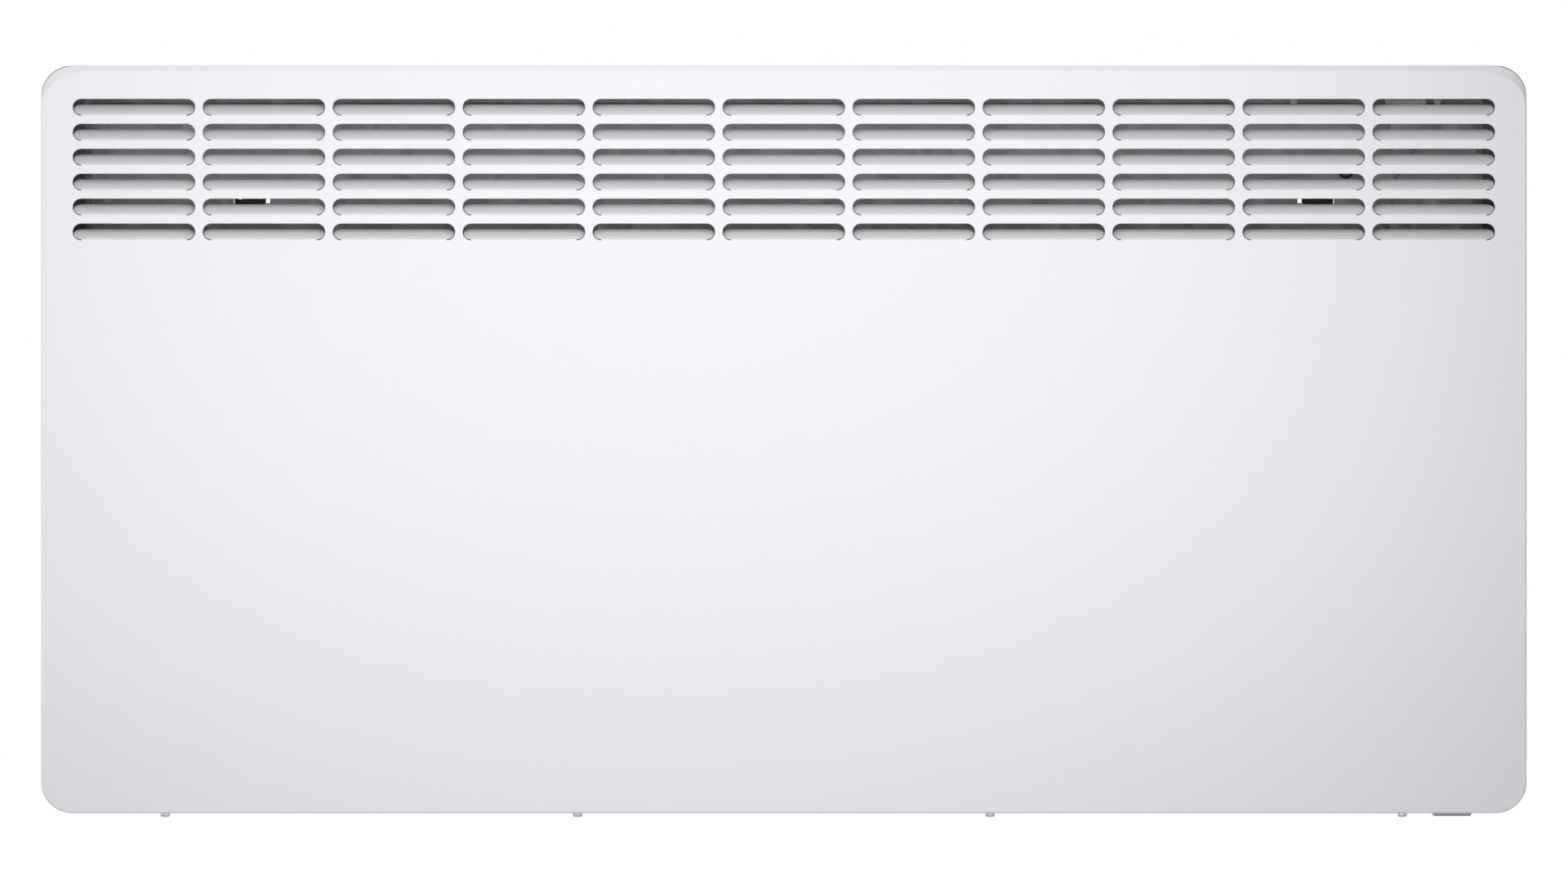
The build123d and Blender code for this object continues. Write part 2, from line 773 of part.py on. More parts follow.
with BuildPart() as front_heat_shield:
    front_shield_z = (element_bracket_z[0], bottom_z + front_shield_top)
    block(shield_x, front_shield_y, front_shield_z)
    for hem_z in (
        (front_shield_z[0], front_shield_z[0] + shield_sheet),
        (front_shield_z[1] - shield_sheet, front_shield_z[1]),
    ):
        block(shield_x, (front_shield_y[0] - shield_hem, front_shield_y[1]), hem_z)
front_heat_shield.part.label = "front_heat_shield"
export_step(front_heat_shield.part, "parts/front_heat_shield.step")

with BuildPart() as rear_heat_shield:
    rear_shield_z = (bottom_z + rear_shield_bottom, bottom_z + rear_shield_top)
    rear_shield_x = (left_bracket_x + seat_clearance, right_bracket_x - seat_clearance)
    block(rear_shield_x, rear_shield_y, rear_shield_z)
    for hem_z in (
        (rear_shield_z[0], rear_shield_z[0] + shield_sheet),
        (rear_shield_z[1] - shield_sheet, rear_shield_z[1]),
    ):
        block(rear_shield_x, (rear_shield_y[0], rear_shield_y[1] + shield_hem), hem_z)
rear_heat_shield.part.label = "rear_heat_shield"
export_step(rear_heat_shield.part, "parts/rear_heat_shield.step")

with BuildPart() as shield_screws:
    for x in shield_screw_columns:
        for z in shield_screw_levels:
            rod((x, front_shield_y[0], z), (0, -1, 0), shield_screw_radius, shield_screw_head)
shield_screws.part.label = "shield_screws"
export_step(shield_screws.part, "parts/shield_screws.step")

# ---------------------------------------------------------- safety cut-out

cutout_x = box_left_x - cutout_from_box
cutout_z = rear_shield_z[1] - cutout_from_top
cutout_y = rear_shield_y[0] - cutout_height
blade_start_x = cutout_x + cutout_radius - cutout_blade_root
blade_end_x = blade_start_x + cutout_blade_length
blade_y = rear_shield_y[0] - cutout_height / 2
cutout_levels = [cutout_z + turn * cutout_blade_spacing / 2 for turn in (-1, 1)]

with BuildPart() as safety_cutout:
    rod((cutout_x, rear_shield_y[0], cutout_z), (0, -1, 0), cutout_radius, cutout_height)
    for level in cutout_levels:
        block((blade_start_x, blade_end_x), middle(blade_y, blade_thickness),
              middle(level, cutout_height / 2))
safety_cutout.part.label = "safety_cutout"
export_step(safety_cutout.part, "parts/safety_cutout.step")

with BuildPart() as cutout_leads:
    for index, level in enumerate(reversed(cutout_levels)):
        turn_x = box_left_x - lead_turn_gap - index * lead_spacing
        entry_z = box_top_z - lead_entry_drop - index * lead_spacing
        with BuildLine() as lead_path:
            FilletPolyline(
                (blade_end_x, blade_y, level),
                (turn_x, blade_y, level),
                (turn_x, blade_y, entry_z),
                (box_left_x, blade_y, entry_z),
                radius=lead_bend,
            )
        with BuildSketch(Plane(origin=lead_path.line @ 0, z_dir=lead_path.line % 0)):
            Circle(lead_radius)
        sweep(path=lead_path.line)
cutout_leads.part.label = "cutout_leads"
export_step(cutout_leads.part, "parts/cutout_leads.step")

# ------------------------------------------------------------------ power box
# Plastic box on four feet at the rear panel, with a screwed cover, the power board and what
# it carries. The mains cord's gland is in its bottom.

box_front_y = front_y + box_front_setback
box_rear_y = face_front_y - box_rear_gap
box_x = (box_left_x, box_right_x)
board_y = box_rear_y - box_wall - board_standoff - board_thickness
board_x = (box_left_x + board_margin, box_right_x - board_margin)
board_z = (box_bottom_z + board_margin, box_top_z - board_margin)
gland_x = box_left_x + gland_from_box_left
gland_y = box_rear_y - gland_from_box_rear
gland_bottom_z = box_bottom_z - gland_flange
lead_gap = seat_clearance

with BuildPart() as power_box:
    block(box_x, (box_front_y, box_rear_y), (box_bottom_z, box_top_z))
    block((box_left_x + box_wall, box_right_x - box_wall), (box_front_y, box_rear_y - box_wall),
          (box_bottom_z + box_wall, box_top_z - box_wall), Mode.SUBTRACT)
    for x, z in foot_places:
        rod((x, face_front_y, z), (0, -1, 0), box_foot_radius, box_rear_gap)
        rod((x, face_front_y, z), (0, -1, 0), screw_radius, box_rear_gap / 2, Mode.SUBTRACT)
    for x in (board_x[0] + standoff_radius, board_x[1] - standoff_radius):
        for z in (board_z[0] + standoff_radius, board_z[1] - standoff_radius):
            rod((x, box_rear_y - box_wall, z), (0, -1, 0), standoff_radius, board_standoff)
    for level in leg_levels:
        rod((box_left_x, element_y, level), (1, 0, 0), lead_radius + lead_gap, box_wall,
            Mode.SUBTRACT)
    rod((gland_x, gland_y, box_bottom_z), (0, 0, 1), gland_radius, box_wall, Mode.SUBTRACT)
power_box.part.label = "power_box"
export_step(power_box.part, "parts/power_box.step")

with BuildPart() as power_box_cover:
    block(box_x, (box_front_y - cover_sheet, box_front_y), (box_bottom_z, box_top_z))
    fillet(power_box_cover.edges().group_by(Axis.Y)[0], cover_sheet / 2)
power_box_cover.part.label = "power_box_cover"
export_step(power_box_cover.part, "parts/power_box_cover.step")

with BuildPart() as power_board:
    block(board_x, (board_y, board_y + board_thickness), board_z)
power_board.part.label = "power_board"
export_step(power_board.part, "parts/power_board.step")

block_x = box_left_x + gland_from_box_left - gland_radius
with BuildPart() as terminal_block:
    width, depth, height = terminal_block_size
    block((block_x, block_x + width), (board_y - depth, board_y), middle(sum(leg_levels) / 2, height))
    for way in range(terminal_ways):
        way_z = sum(leg_levels) / 2 + (way - (terminal_ways - 1) / 2) * height / terminal_ways
        rod((block_x + width / 2, board_y - depth, way_z), (0, 1, 0), terminal_screw_radius,
            terminal_screw_depth, Mode.SUBTRACT)
terminal_block.part.label = "terminal_block"
export_step(terminal_block.part, "parts/terminal_block.step")

with BuildPart() as element_leads:
    for level in leg_levels:
        rod((terminal_end_x, element_y, level), (1, 0, 0), lead_radius, block_x - terminal_end_x)
element_leads.part.label = "element_leads"
export_step(element_leads.part, "parts/element_leads.step")

with BuildPart() as relay:
    width, depth, height = relay_size
    relay_top = board_z[1] - 2 * component_margin
    block((board_x[1] - component_margin - width, board_x[1] - component_margin),
          (board_y - depth, board_y), (relay_top - height, relay_top))
    fillet(relay.edges().group_by(Axis.Y)[0], component_fillet)
relay.part.label = "relay"
export_step(relay.part, "parts/relay.step")

with BuildPart() as heat_sink:
    width, depth, height = heat_sink_size
    sink_x = (board_x[1] - component_margin - width, board_x[1] - component_margin)
    sink_z = (board_z[0] + component_margin, board_z[0] + component_margin + height)
    block(sink_x, (board_y - heat_sink_base, board_y), sink_z)
    fin_step = (width - heat_sink_fin) / (heat_sink_fins - 1)
    for index in range(heat_sink_fins):
        fin_x = sink_x[0] + index * fin_step
        block((fin_x, fin_x + heat_sink_fin), (board_y - depth, board_y), sink_z)
heat_sink.part.label = "heat_sink"
export_step(heat_sink.part, "parts/heat_sink.step")

with BuildPart() as suppressor:
    width, depth, height = suppressor_size
    block((board_x[1] - component_margin - width, board_x[1] - component_margin),
          (board_y - height, board_y), middle(sum(board_z) / 2 + component_margin, depth))
    fillet(suppressor.edges().group_by(Axis.Y)[0], component_fillet)
suppressor.part.label = "suppressor"
export_step(suppressor.part, "parts/suppressor.step")

with BuildPart() as cable_gland:
    rod((gland_x, gland_y, gland_bottom_z), (0, 0, 1), gland_flange_radius, gland_flange)
    rod((gland_x, gland_y, gland_bottom_z), (0, 0, 1), gland_radius, gland_length)
    rod((gland_x, gland_y, gland_bottom_z), (0, 0, 1), gland_bore, gland_length, Mode.SUBTRACT)
cable_gland.part.label = "cable_gland"
export_step(cable_gland.part, "parts/cable_gland.step")

with BuildPart() as earth_screw:
    rod((earth_x, face_front_y - earth_ring, earth_z), (0, -1, 0), earth_head_radius,
        earth_head_height)
    rod((earth_x, face_front_y - earth_ring, earth_z), (0, 1, 0), earth_screw_radius,
        rear_screw_length)
earth_screw.part.label = "earth_screw"
export_step(earth_screw.part, "parts/earth_screw.step")

with BuildPart() as earth_lead:
    earth_y = face_front_y - earth_from_face
    barrel_z = earth_z - earth_ring_radius - 2 * lead_radius
    with BuildLine() as earth_path:
        FilletPolyline(
            (earth_x, earth_y, box_top_z),
            (earth_x, earth_y, barrel_z),
            (earth_x, face_front_y, barrel_z),
            radius=lead_bend,
        )
    with BuildSketch(Plane(origin=earth_path.line @ 0, z_dir=earth_path.line % 0)):
        Circle(lead_radius)
    sweep(path=earth_path.line)
    block(middle(earth_x, 2 * lead_radius), (face_front_y - earth_ring, face_front_y),
          (barrel_z, earth_z))
    rod((earth_x, face_front_y, earth_z), (0, -1, 0), earth_ring_radius, earth_ring)
    rod((earth_x, face_front_y, earth_z), (0, -1, 0), earth_screw_radius, earth_ring,
        Mode.SUBTRACT)
earth_lead.part.label = "earth_lead"
export_step(earth_lead.part, "parts/earth_lead.step")

# ---------------------------------------------------------------- room sensor

clip_width, clip_depth, clip_height = sensor_clip_size
sensor_x = box_left_x - clip_width / 2
sensor_y = box_front_y + sensor_from_box_front
clip_z = (bottom_z + sensor_clip_level, bottom_z + sensor_clip_level + clip_height)
sensor_top = clip_z[1] + sensor_stand
with BuildPart() as sensor_clip:
    block((box_left_x - clip_width, box_left_x), middle(sensor_y, clip_depth), clip_z)
    rod((sensor_x, sensor_y, clip_z[0]), (0, 0, 1), sensor_radius + sensor_clearance,
        clip_height, Mode.SUBTRACT)
sensor_clip.part.label = "sensor_clip"
export_step(sensor_clip.part, "parts/sensor_clip.step")

with BuildPart() as room_sensor:
    rod((sensor_x, sensor_y, sensor_top), (0, 0, -1), sensor_radius, sensor_length)
    fillet(room_sensor.edges().sort_by(Axis.Z)[0], sensor_tip_radius)
room_sensor.part.label = "room_sensor"
export_step(room_sensor.part, "parts/room_sensor.step")

with BuildPart() as sensor_lead:
    with BuildLine() as sensor_path:
        FilletPolyline(
            (sensor_x, sensor_y, sensor_top),
            (sensor_x, sensor_y, sensor_top + sensor_lead_rise),
            (box_left_x, sensor_y, sensor_top + sensor_lead_rise),
            radius=sensor_lead_bend,
        )
    with BuildSketch(Plane(origin=sensor_path.line @ 0, z_dir=sensor_path.line % 0)):
        Circle(sensor_lead_radius)
    sweep(path=sensor_path.line)
sensor_lead.part.label = "sensor_lead"
export_step(sensor_lead.part, "parts/sensor_lead.step")

# --------------------------------------------------------------- mains switch
# Its housing snaps up into the closed part of the bottom wall, and its bezel stands below.
# The rocker turns on two stub axles.

pivot_z = bottom_z + rocker_pivot_height
tilt = radians(rocker_tilt)
cavity_half = rocker_half_length * cos(tilt) + rocker_end_depth * sin(tilt) + rocker_gap
cavity_width = rocker_width + 2 * rocker_gap
cavity_top = pivot_z + rocker_crown + rocker_gap
switch_top = bottom_z + switch_height

with BuildPart() as switch_housing:
    block(middle(switch_x, switch_width), middle(switch_y, switch_length), (bottom_z, switch_top))
    with BuildSketch(Plane.XY.offset(bottom_z)):
        with Locations((switch_x, switch_y)):
            Rectangle(bezel_width, bezel_length)
    with BuildSketch(Plane.XY.offset(bottom_z - bezel_height)):
        with Locations((switch_x, switch_y)):
            Rectangle(bezel_width - 2 * bezel_slant, bezel_length - 2 * bezel_slant)
    loft()
    block(middle(switch_x, cavity_width), middle(switch_y, 2 * cavity_half),
          (bottom_z - bezel_height, cavity_top), Mode.SUBTRACT)
    rod((switch_x - cavity_width / 2 - axle_hole_depth, switch_y, pivot_z), (1, 0, 0),
        axle_radius + axle_clearance, cavity_width + 2 * axle_hole_depth, Mode.SUBTRACT)
switch_housing.part.label = "switch_housing"
export_step(switch_housing.part, "parts/switch_housing.step")

with BuildPart() as rocker:
    with BuildSketch(Plane.YZ.offset(switch_x - rocker_width / 2)) as rocker_profile:
        with Locations(Location((switch_y, pivot_z), -rocker_tilt)):
            Polygon(
                (-rocker_half_length, -rocker_end_depth),
                (0, -rocker_middle_depth),
                (rocker_half_length, -rocker_end_depth),
                (rocker_half_length - rocker_shoulder, -axle_radius),
                (0, rocker_crown),
                (rocker_shoulder - rocker_half_length, -axle_radius),
                align=None,
            )
    extrude(amount=rocker_width)
    axle_half = cavity_width / 2 + axle_hole_depth - axle_end_gap
    rod((switch_x - axle_half, switch_y, pivot_z), (1, 0, 0), axle_radius, 2 * axle_half)
rocker.part.label = "rocker"
export_step(rocker.part, "parts/rocker.step")

blade_ys = [switch_y + turn * switch_length / 4 for turn in (-1, 1)]
with BuildPart() as switch_terminals:
    for y in blade_ys:
        block(middle(switch_x, blade_width), middle(y, blade_thickness),
              (switch_top, switch_top + blade_length))
switch_terminals.part.label = "switch_terminals"
export_step(switch_terminals.part, "parts/switch_terminals.step")

with BuildPart() as switch_leads:
    for y in blade_ys:
        lead_low = switch_top + blade_length
        lead_high = lead_low + 2 * lead_bend
        with BuildLine() as switch_path:
            FilletPolyline(
                (switch_x, y, lead_low),
                (switch_x, y, lead_high),
                (box_right_x, y, lead_high),
                radius=lead_bend,
            )
        with BuildSketch(Plane(origin=switch_path.line @ 0, z_dir=switch_path.line % 0)):
            Circle(lead_radius)
        sweep(path=switch_path.line)
switch_leads.part.label = "switch_leads"
export_step(switch_leads.part, "parts/switch_leads.step")

# --------------------------------------------------------------- control unit
# A plastic housing snapped up into the cut-out in the top wall, its deck flush with the wall.
# It holds a display behind a window and four keys over tact switches on one board.

deck_x = middle(control_x, control_width - 2 * control_gap)
deck_y = middle(control_y, control_depth - 2 * control_gap)
deck_bottom = top_z - deck_thickness
housing_bottom = top_z - control_height
base_bottom = housing_bottom - base_thickness
control_board_z = (
    housing_bottom + control_board_height,
    housing_bottom + control_board_height + board_thickness,
)
display_x = deck_x[0] + window_from_left
key_places = [
    (deck_x[1] - keys_from_right + column * key_spacing / 2, control_y + row * key_spacing / 2)
    for row in (1, -1)
    for column in (-1, 1)
]
key_flange_top = deck_bottom - seat_clearance
key_bottom = key_flange_top - key_flange_thickness
key_top = top_z - key_gap

with BuildPart() as control_housing:
    block(deck_x, deck_y, (housing_bottom, top_z))
    block(middle(control_x, control_width + 2 * control_flange),
          middle(control_y, control_depth + 2 * control_flange),
          (top_z - sheet - control_flange_thickness, top_z - sheet))
    block((deck_x[0] + control_wall, deck_x[1] - control_wall),
          (deck_y[0] + control_wall, deck_y[1] - control_wall),
          (housing_bottom, deck_bottom), Mode.SUBTRACT)
    block(middle(display_x, window_size[0]), middle(control_y, window_size[1]),
          (top_z - window_recess, top_z), Mode.SUBTRACT)
    block(middle(display_x, window_size[0] - 2 * control_wall),
          middle(control_y, window_size[1] - 2 * control_wall),
          (deck_bottom, top_z), Mode.SUBTRACT)
    with BuildSketch(Plane.XY.offset(deck_bottom)):
        with Locations(*key_places):
            RectangleRounded(key_size + 2 * key_gap, key_size + 2 * key_gap, key_corner + key_gap)
    extrude(amount=deck_thickness, mode=Mode.SUBTRACT)
control_housing.part.label = "control_housing"
export_step(control_housing.part, "parts/control_housing.step")

ribbon_x = control_x + ribbon_from_control
ribbon_y = control_y
with BuildPart() as control_base:
    block(deck_x, deck_y, (base_bottom, housing_bottom))
    block(middle(ribbon_x, ribbon_width + 2 * seat_clearance),
          middle(ribbon_y, connector_depth + 2 * seat_clearance),
          (base_bottom, housing_bottom), Mode.SUBTRACT)
    for side in (-1, 1):
        tab_x = control_x + side * tab_from_middle
        with BuildSketch(Plane.XZ.offset(-deck_y[0] - control_wall)):
            with Locations((tab_x, base_bottom)):
                Polygon(
                    (-tab_width_top / 2, 0),
                    (-tab_width_bottom / 2, -tab_height),
                    (tab_width_bottom / 2, -tab_height),
                    (tab_width_top / 2, 0),
                    align=None,
                )
        extrude(amount=-tab_thickness)
control_base.part.label = "control_base"
export_step(control_base.part, "parts/control_base.step")

with BuildPart() as control_board:
    block((deck_x[0] + control_wall + control_gap, deck_x[1] - control_wall - control_gap),
          (deck_y[0] + control_wall + control_gap, deck_y[1] - control_wall - control_gap),
          control_board_z)
control_board.part.label = "control_board"
export_step(control_board.part, "parts/control_board.step")

with BuildPart() as display_module:
    block(middle(display_x, window_size[0] - control_wall),
          middle(control_y, window_size[1] - control_wall),
          (control_board_z[1], control_board_z[1] + display_height))
display_module.part.label = "display_module"
export_step(display_module.part, "parts/display_module.step")

with BuildPart() as display_window:
    block(middle(display_x, window_size[0] - control_gap),
          middle(control_y, window_size[1] - control_gap),
          (top_z - window_recess, top_z - control_gap / 2))
display_window.part.label = "display_window"
export_step(display_window.part, "parts/display_window.step")

with BuildPart() as key_switches:
    for x, y in key_places:
        block(middle(x, switch_can), middle(y, switch_can),
              (control_board_z[1], control_board_z[1] + switch_can_height))
        rod((x, y, control_board_z[1]), (0, 0, 1), plunger_radius,
            key_bottom - key_travel - plunger_gap - control_board_z[1])
key_switches.part.label = "key_switches"
export_step(key_switches.part, "parts/key_switches.step")

key_minus, key_plus, key_menu, key_power = BuildPart(), BuildPart(), BuildPart(), BuildPart()
for place, key in zip(key_places, (key_minus, key_plus, key_menu, key_power)):
    with key:
        with BuildSketch(Plane.XY.offset(key_bottom)):
            with Locations(place):
                RectangleRounded(key_size, key_size, key_corner)
        extrude(amount=key_top - key_bottom)
        with BuildSketch(Plane.XY.offset(key_bottom)):
            with Locations(place):
                RectangleRounded(key_size + 2 * key_flange, key_size + 2 * key_flange, key_corner)
        extrude(amount=key_flange_thickness)
key_minus.part.label = "key_minus"
export_step(key_minus.part, "parts/key_minus.step")
key_plus.part.label = "key_plus"
export_step(key_plus.part, "parts/key_plus.step")
key_menu.part.label = "key_menu"
export_step(key_menu.part, "parts/key_menu.step")
key_power.part.label = "key_power"
export_step(key_power.part, "parts/key_power.step")

# --------------------------------------------------------------- ribbon cable
# It leaves its connector under the control unit facing the front, turns edge-on in one fold
# and runs down to its plug on the power box.

connector_x = middle(ribbon_x, connector_width)
connector_low = base_bottom - connector_drop
plug_x = ribbon_x + ribbon_foot_shift
plug_top_z = box_top_z + plug_height
with BuildPart() as ribbon_connector:
    block(middle(ribbon_x, ribbon_width), middle(ribbon_y, connector_depth),
          (connector_low, control_board_z[0]))
    for ear_x in (
        (connector_x[0], ribbon_x - ribbon_width / 2),
        (ribbon_x + ribbon_width / 2, connector_x[1]),
    ):
        block(ear_x, middle(ribbon_y, connector_depth), (base_bottom - connector_ear_drop, base_bottom))
ribbon_connector.part.label = "ribbon_connector"
export_step(ribbon_connector.part, "parts/ribbon_connector.step")

ribbon_fold_top = top_z - ribbon_fold_from_top
ribbon_sections = [(ribbon_x, connector_low, 0.0)]
ribbon_sections += [
    (
        ribbon_x + ribbon_fold_shift * step / ribbon_fold_steps,
        ribbon_fold_top - ribbon_fold_height * step / ribbon_fold_steps,
        90.0 * step / ribbon_fold_steps,
    )
    for step in range(ribbon_fold_steps + 1)
]
ribbon_sections.append((plug_x, plug_top_z, 90.0))
with BuildPart() as ribbon_cable:
    for x, z, turn in ribbon_sections:
        with BuildSketch(Plane.XY.offset(z)):
            with Locations((x, ribbon_y)):
                Rectangle(ribbon_width, ribbon_thickness, rotation=turn)
    loft(ruled=True)
ribbon_cable.part.label = "ribbon_cable"
export_step(ribbon_cable.part, "parts/ribbon_cable.step")

with BuildPart() as ribbon_plug:
    block(middle(plug_x, connector_depth), middle(ribbon_y, connector_width), (box_top_z, plug_top_z))
ribbon_plug.part.label = "ribbon_plug"
export_step(ribbon_plug.part, "parts/ribbon_plug.step")

# --------------------------------------------------------------- wall bracket
# Two folded steel uprights, screwed to the wall and joined by a riveted crossbar. The heater
# hangs in the hooks at their lower ends, and the tongues at their tops enter the catches.

flange_y = face_back_y + panel_rest_gap
upright_top = window_bottom - upright_below_window
upright_bottom = hanging_edge_z - upright_below_edge
flange_bottom = hanging_edge_z + flange_above_edge
tongue_tip = face_front_y - catch_depth - tongue_past_catch
crossbar_top = upright_top - crossbar_below_top
crossbar_z = (crossbar_top - crossbar_height, crossbar_top)
crossbar_y = (-2 * bracket_sheet, -bracket_sheet)
hook_seat = hanging_edge_z - seat_clearance
hook_tip_y = face_front_y - hook_tip_gap
rivet_places = [
    (side * upright_x + turn * rivet_spacing / 2, sum(crossbar_z) / 2)
    for side in (-1, 1)
    for turn in (-1, 1)
]
bracket_upright_left, bracket_upright_right = BuildPart(), BuildPart()
for side, upright in ((-1, bracket_upright_left), (1, bracket_upright_right)):
    upright_span = middle(side * upright_x, upright_width)
    with upright:
        block(upright_span, (-bracket_sheet, 0), (upright_bottom, upright_top))
        for edge, turn in zip(upright_span, (1, -1)):
            block((edge, edge + turn * bracket_sheet), (flange_y, 0),
                  (flange_bottom, upright_top))
        block(upright_span, crossbar_y, crossbar_z, Mode.SUBTRACT)
        block(middle(side * catch_x, tongue_width), (-bracket_sheet, 0), (upright_top, tongue_top))
        block(middle(side * catch_x, tongue_width), (tongue_tip, 0), tongue_z)
        block(middle(side * upright_x, hook_width), (hook_tip_y - hook_sheet, 0),
              (hook_seat - hook_sheet, hook_seat))
        block(middle(side * upright_x, hook_width), (hook_tip_y - hook_sheet, hook_tip_y),
              (hook_seat - hook_sheet, hook_seat + hook_tip_height))
        with BuildSketch(Plane.XZ):
            with Locations(*((side * upright_x, turn * wall_screw_spacing_z / 2) for turn in (-1, 1))):
                SlotOverall(wall_slot_length, wall_slot_width)
        extrude(amount=bracket_sheet, mode=Mode.SUBTRACT)
        for x, z in rivet_places:
            rod((x, 0, z), (0, -1, 0), rivet_radius, bracket_sheet, Mode.SUBTRACT)
bracket_upright_left.part.label = "bracket_upright_left"
export_step(bracket_upright_left.part, "parts/bracket_upright_left.step")
bracket_upright_right.part.label = "bracket_upright_right"
export_step(bracket_upright_right.part, "parts/bracket_upright_right.step")

crossbar_half = upright_x + upright_width / 2 - bracket_sheet
with BuildPart() as bracket_crossbar:
    block((-crossbar_half, crossbar_half), crossbar_y, crossbar_z)
    for x, z in rivet_places:
        rod((x, 0, z), (0, -1, 0), rivet_radius, 2 * bracket_sheet, Mode.SUBTRACT)
bracket_crossbar.part.label = "bracket_crossbar"
export_step(bracket_crossbar.part, "parts/bracket_crossbar.step")

with BuildPart() as bracket_rivets:
    for x, z in rivet_places:
        rod((x, 0, z), (0, -1, 0), rivet_radius, 2 * bracket_sheet)
        rod((x, -2 * bracket_sheet, z), (0, -1, 0), rivet_head_radius, rivet_head_height)
    fillet(bracket_rivets.edges().group_by(Axis.Y)[0], rivet_head_height / 2)
bracket_rivets.part.label = "bracket_rivets"
export_step(bracket_rivets.part, "parts/bracket_rivets.step")
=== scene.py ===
import bmesh
import bpy
import json
from math import atan2, cos, pi, radians, sin
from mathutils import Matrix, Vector

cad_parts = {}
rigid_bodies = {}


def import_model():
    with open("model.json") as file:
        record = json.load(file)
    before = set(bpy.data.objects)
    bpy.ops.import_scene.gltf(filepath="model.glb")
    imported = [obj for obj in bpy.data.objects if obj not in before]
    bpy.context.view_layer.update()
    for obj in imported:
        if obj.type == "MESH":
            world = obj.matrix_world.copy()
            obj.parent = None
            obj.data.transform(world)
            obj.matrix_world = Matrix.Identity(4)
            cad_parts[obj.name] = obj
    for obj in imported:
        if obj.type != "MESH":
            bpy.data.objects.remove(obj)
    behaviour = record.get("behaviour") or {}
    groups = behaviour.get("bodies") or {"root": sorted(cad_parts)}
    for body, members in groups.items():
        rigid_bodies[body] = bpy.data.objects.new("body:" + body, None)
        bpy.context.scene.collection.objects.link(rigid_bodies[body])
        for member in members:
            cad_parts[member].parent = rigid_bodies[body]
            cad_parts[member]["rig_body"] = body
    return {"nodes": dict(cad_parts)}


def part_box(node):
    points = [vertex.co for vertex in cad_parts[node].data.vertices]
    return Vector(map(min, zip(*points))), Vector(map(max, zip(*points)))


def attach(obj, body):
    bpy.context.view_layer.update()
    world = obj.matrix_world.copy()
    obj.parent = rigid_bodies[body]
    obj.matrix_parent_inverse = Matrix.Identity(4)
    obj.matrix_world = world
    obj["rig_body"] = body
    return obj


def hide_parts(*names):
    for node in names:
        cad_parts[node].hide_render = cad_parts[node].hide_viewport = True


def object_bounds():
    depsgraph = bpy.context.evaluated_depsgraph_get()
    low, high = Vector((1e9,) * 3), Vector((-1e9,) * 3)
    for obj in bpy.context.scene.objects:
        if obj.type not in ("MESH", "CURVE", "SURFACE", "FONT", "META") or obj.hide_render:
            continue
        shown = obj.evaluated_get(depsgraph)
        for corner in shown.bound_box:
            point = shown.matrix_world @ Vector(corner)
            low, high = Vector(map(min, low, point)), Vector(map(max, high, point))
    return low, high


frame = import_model()
cad_low, cad_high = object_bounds()
nodes = frame["nodes"]

# ------------------------------------------------------------------- the view
# The heater is seen from straight in front at half its height, from so far away that its
# edges stay parallel.
view_distance = 16.0
view_width = 0.9434
view_centre = (0.0001, -0.001)
sensor_width = 36.0
view_reach = 60.0
front_y = cad_low.y

bpy.ops.object.select_all(action="DESELECT")
bpy.ops.object.camera_add(
    location=(view_centre[0], front_y - view_distance, view_centre[1]),
    rotation=(radians(90), 0, 0),
)
camera = bpy.context.object
camera.name = "camera"
camera.data.sensor_width = sensor_width
camera.data.lens = sensor_width * view_distance / view_width
camera.data.clip_end = view_reach
bpy.context.scene.camera = camera
bpy.context.scene.view_settings.view_transform = "Standard"

# ------------------------------------------------------------------- the light
# A wide soft lamp close before the louvres, a low cool fill from all round, and lamps that only
# reach the top, the back and the sides. The surroundings look and reflect white.
fill_colour = (0.93, 0.93, 1.0, 1)
fill_strength = 0.12
# Place, aim, size and power of each lamp
lamps = {
    "front_lamp": ((-0.068, -0.477, 0.208), (-0.068, -0.1, 0.208), (1.18, 0.85), 3.74),
    "top_lamp": ((-0.2, 0.1, 1.4), (0, -0.05, 0.2), (1.2, 0.6), 5.0),
    "rear_lamp": ((0.6, 1.5, 0.6), (0, 0, 0), (1.2, 0.8), 14.0),
    "left_lamp": ((-1.5, 0.25, 0.1), (-0.4, -0.05, 0), (0.7, 0.7), 5.0),
    "right_lamp": ((1.5, 0.25, 0.1), (0.4, -0.05, 0), (0.7, 0.7), 2.5),
}


def add_node(tree, kind, values=None, **settings):
    """Adds a shader node of a kind, with its settings and the values of its inputs."""
    node = tree.nodes.new("ShaderNode" + kind)
    for name, value in settings.items():
        setattr(node, name, value)
    for name, value in (values or {}).items():
        node.inputs[name].default_value = value
    return node


def link(tree, *pairs):
    """Links node outputs to node inputs, two by two."""
    for output, target in zip(pairs[::2], pairs[1::2]):
        tree.links.new(output, target)


world = bpy.data.worlds.new("studio")
bpy.context.scene.world = world
world.use_nodes = True
tree = world.node_tree
tree.nodes.clear()
path = add_node(tree, "LightPath")
seen = add_node(tree, "Math", operation="MAXIMUM")
seen_through = add_node(tree, "Math", operation="MAXIMUM")
fill = add_node(tree, "Background", {"Color": fill_colour, "Strength": fill_strength})
white = add_node(tree, "Background", {"Color": (1, 1, 1, 1), "Strength": 1.0})
both = add_node(tree, "MixShader")
output = add_node(tree, "OutputWorld")
link(
    tree,
    path.outputs["Is Camera Ray"], seen.inputs[0],
    path.outputs["Is Glossy Ray"], seen.inputs[1],
    seen.outputs[0], seen_through.inputs[0],
    path.outputs["Is Transmission Ray"], seen_through.inputs[1],
    seen_through.outputs[0], both.inputs[0],
    fill.outputs[0], both.inputs[1],
    white.outputs[0], both.inputs[2],
    both.outputs[0], output.inputs["Surface"],
)

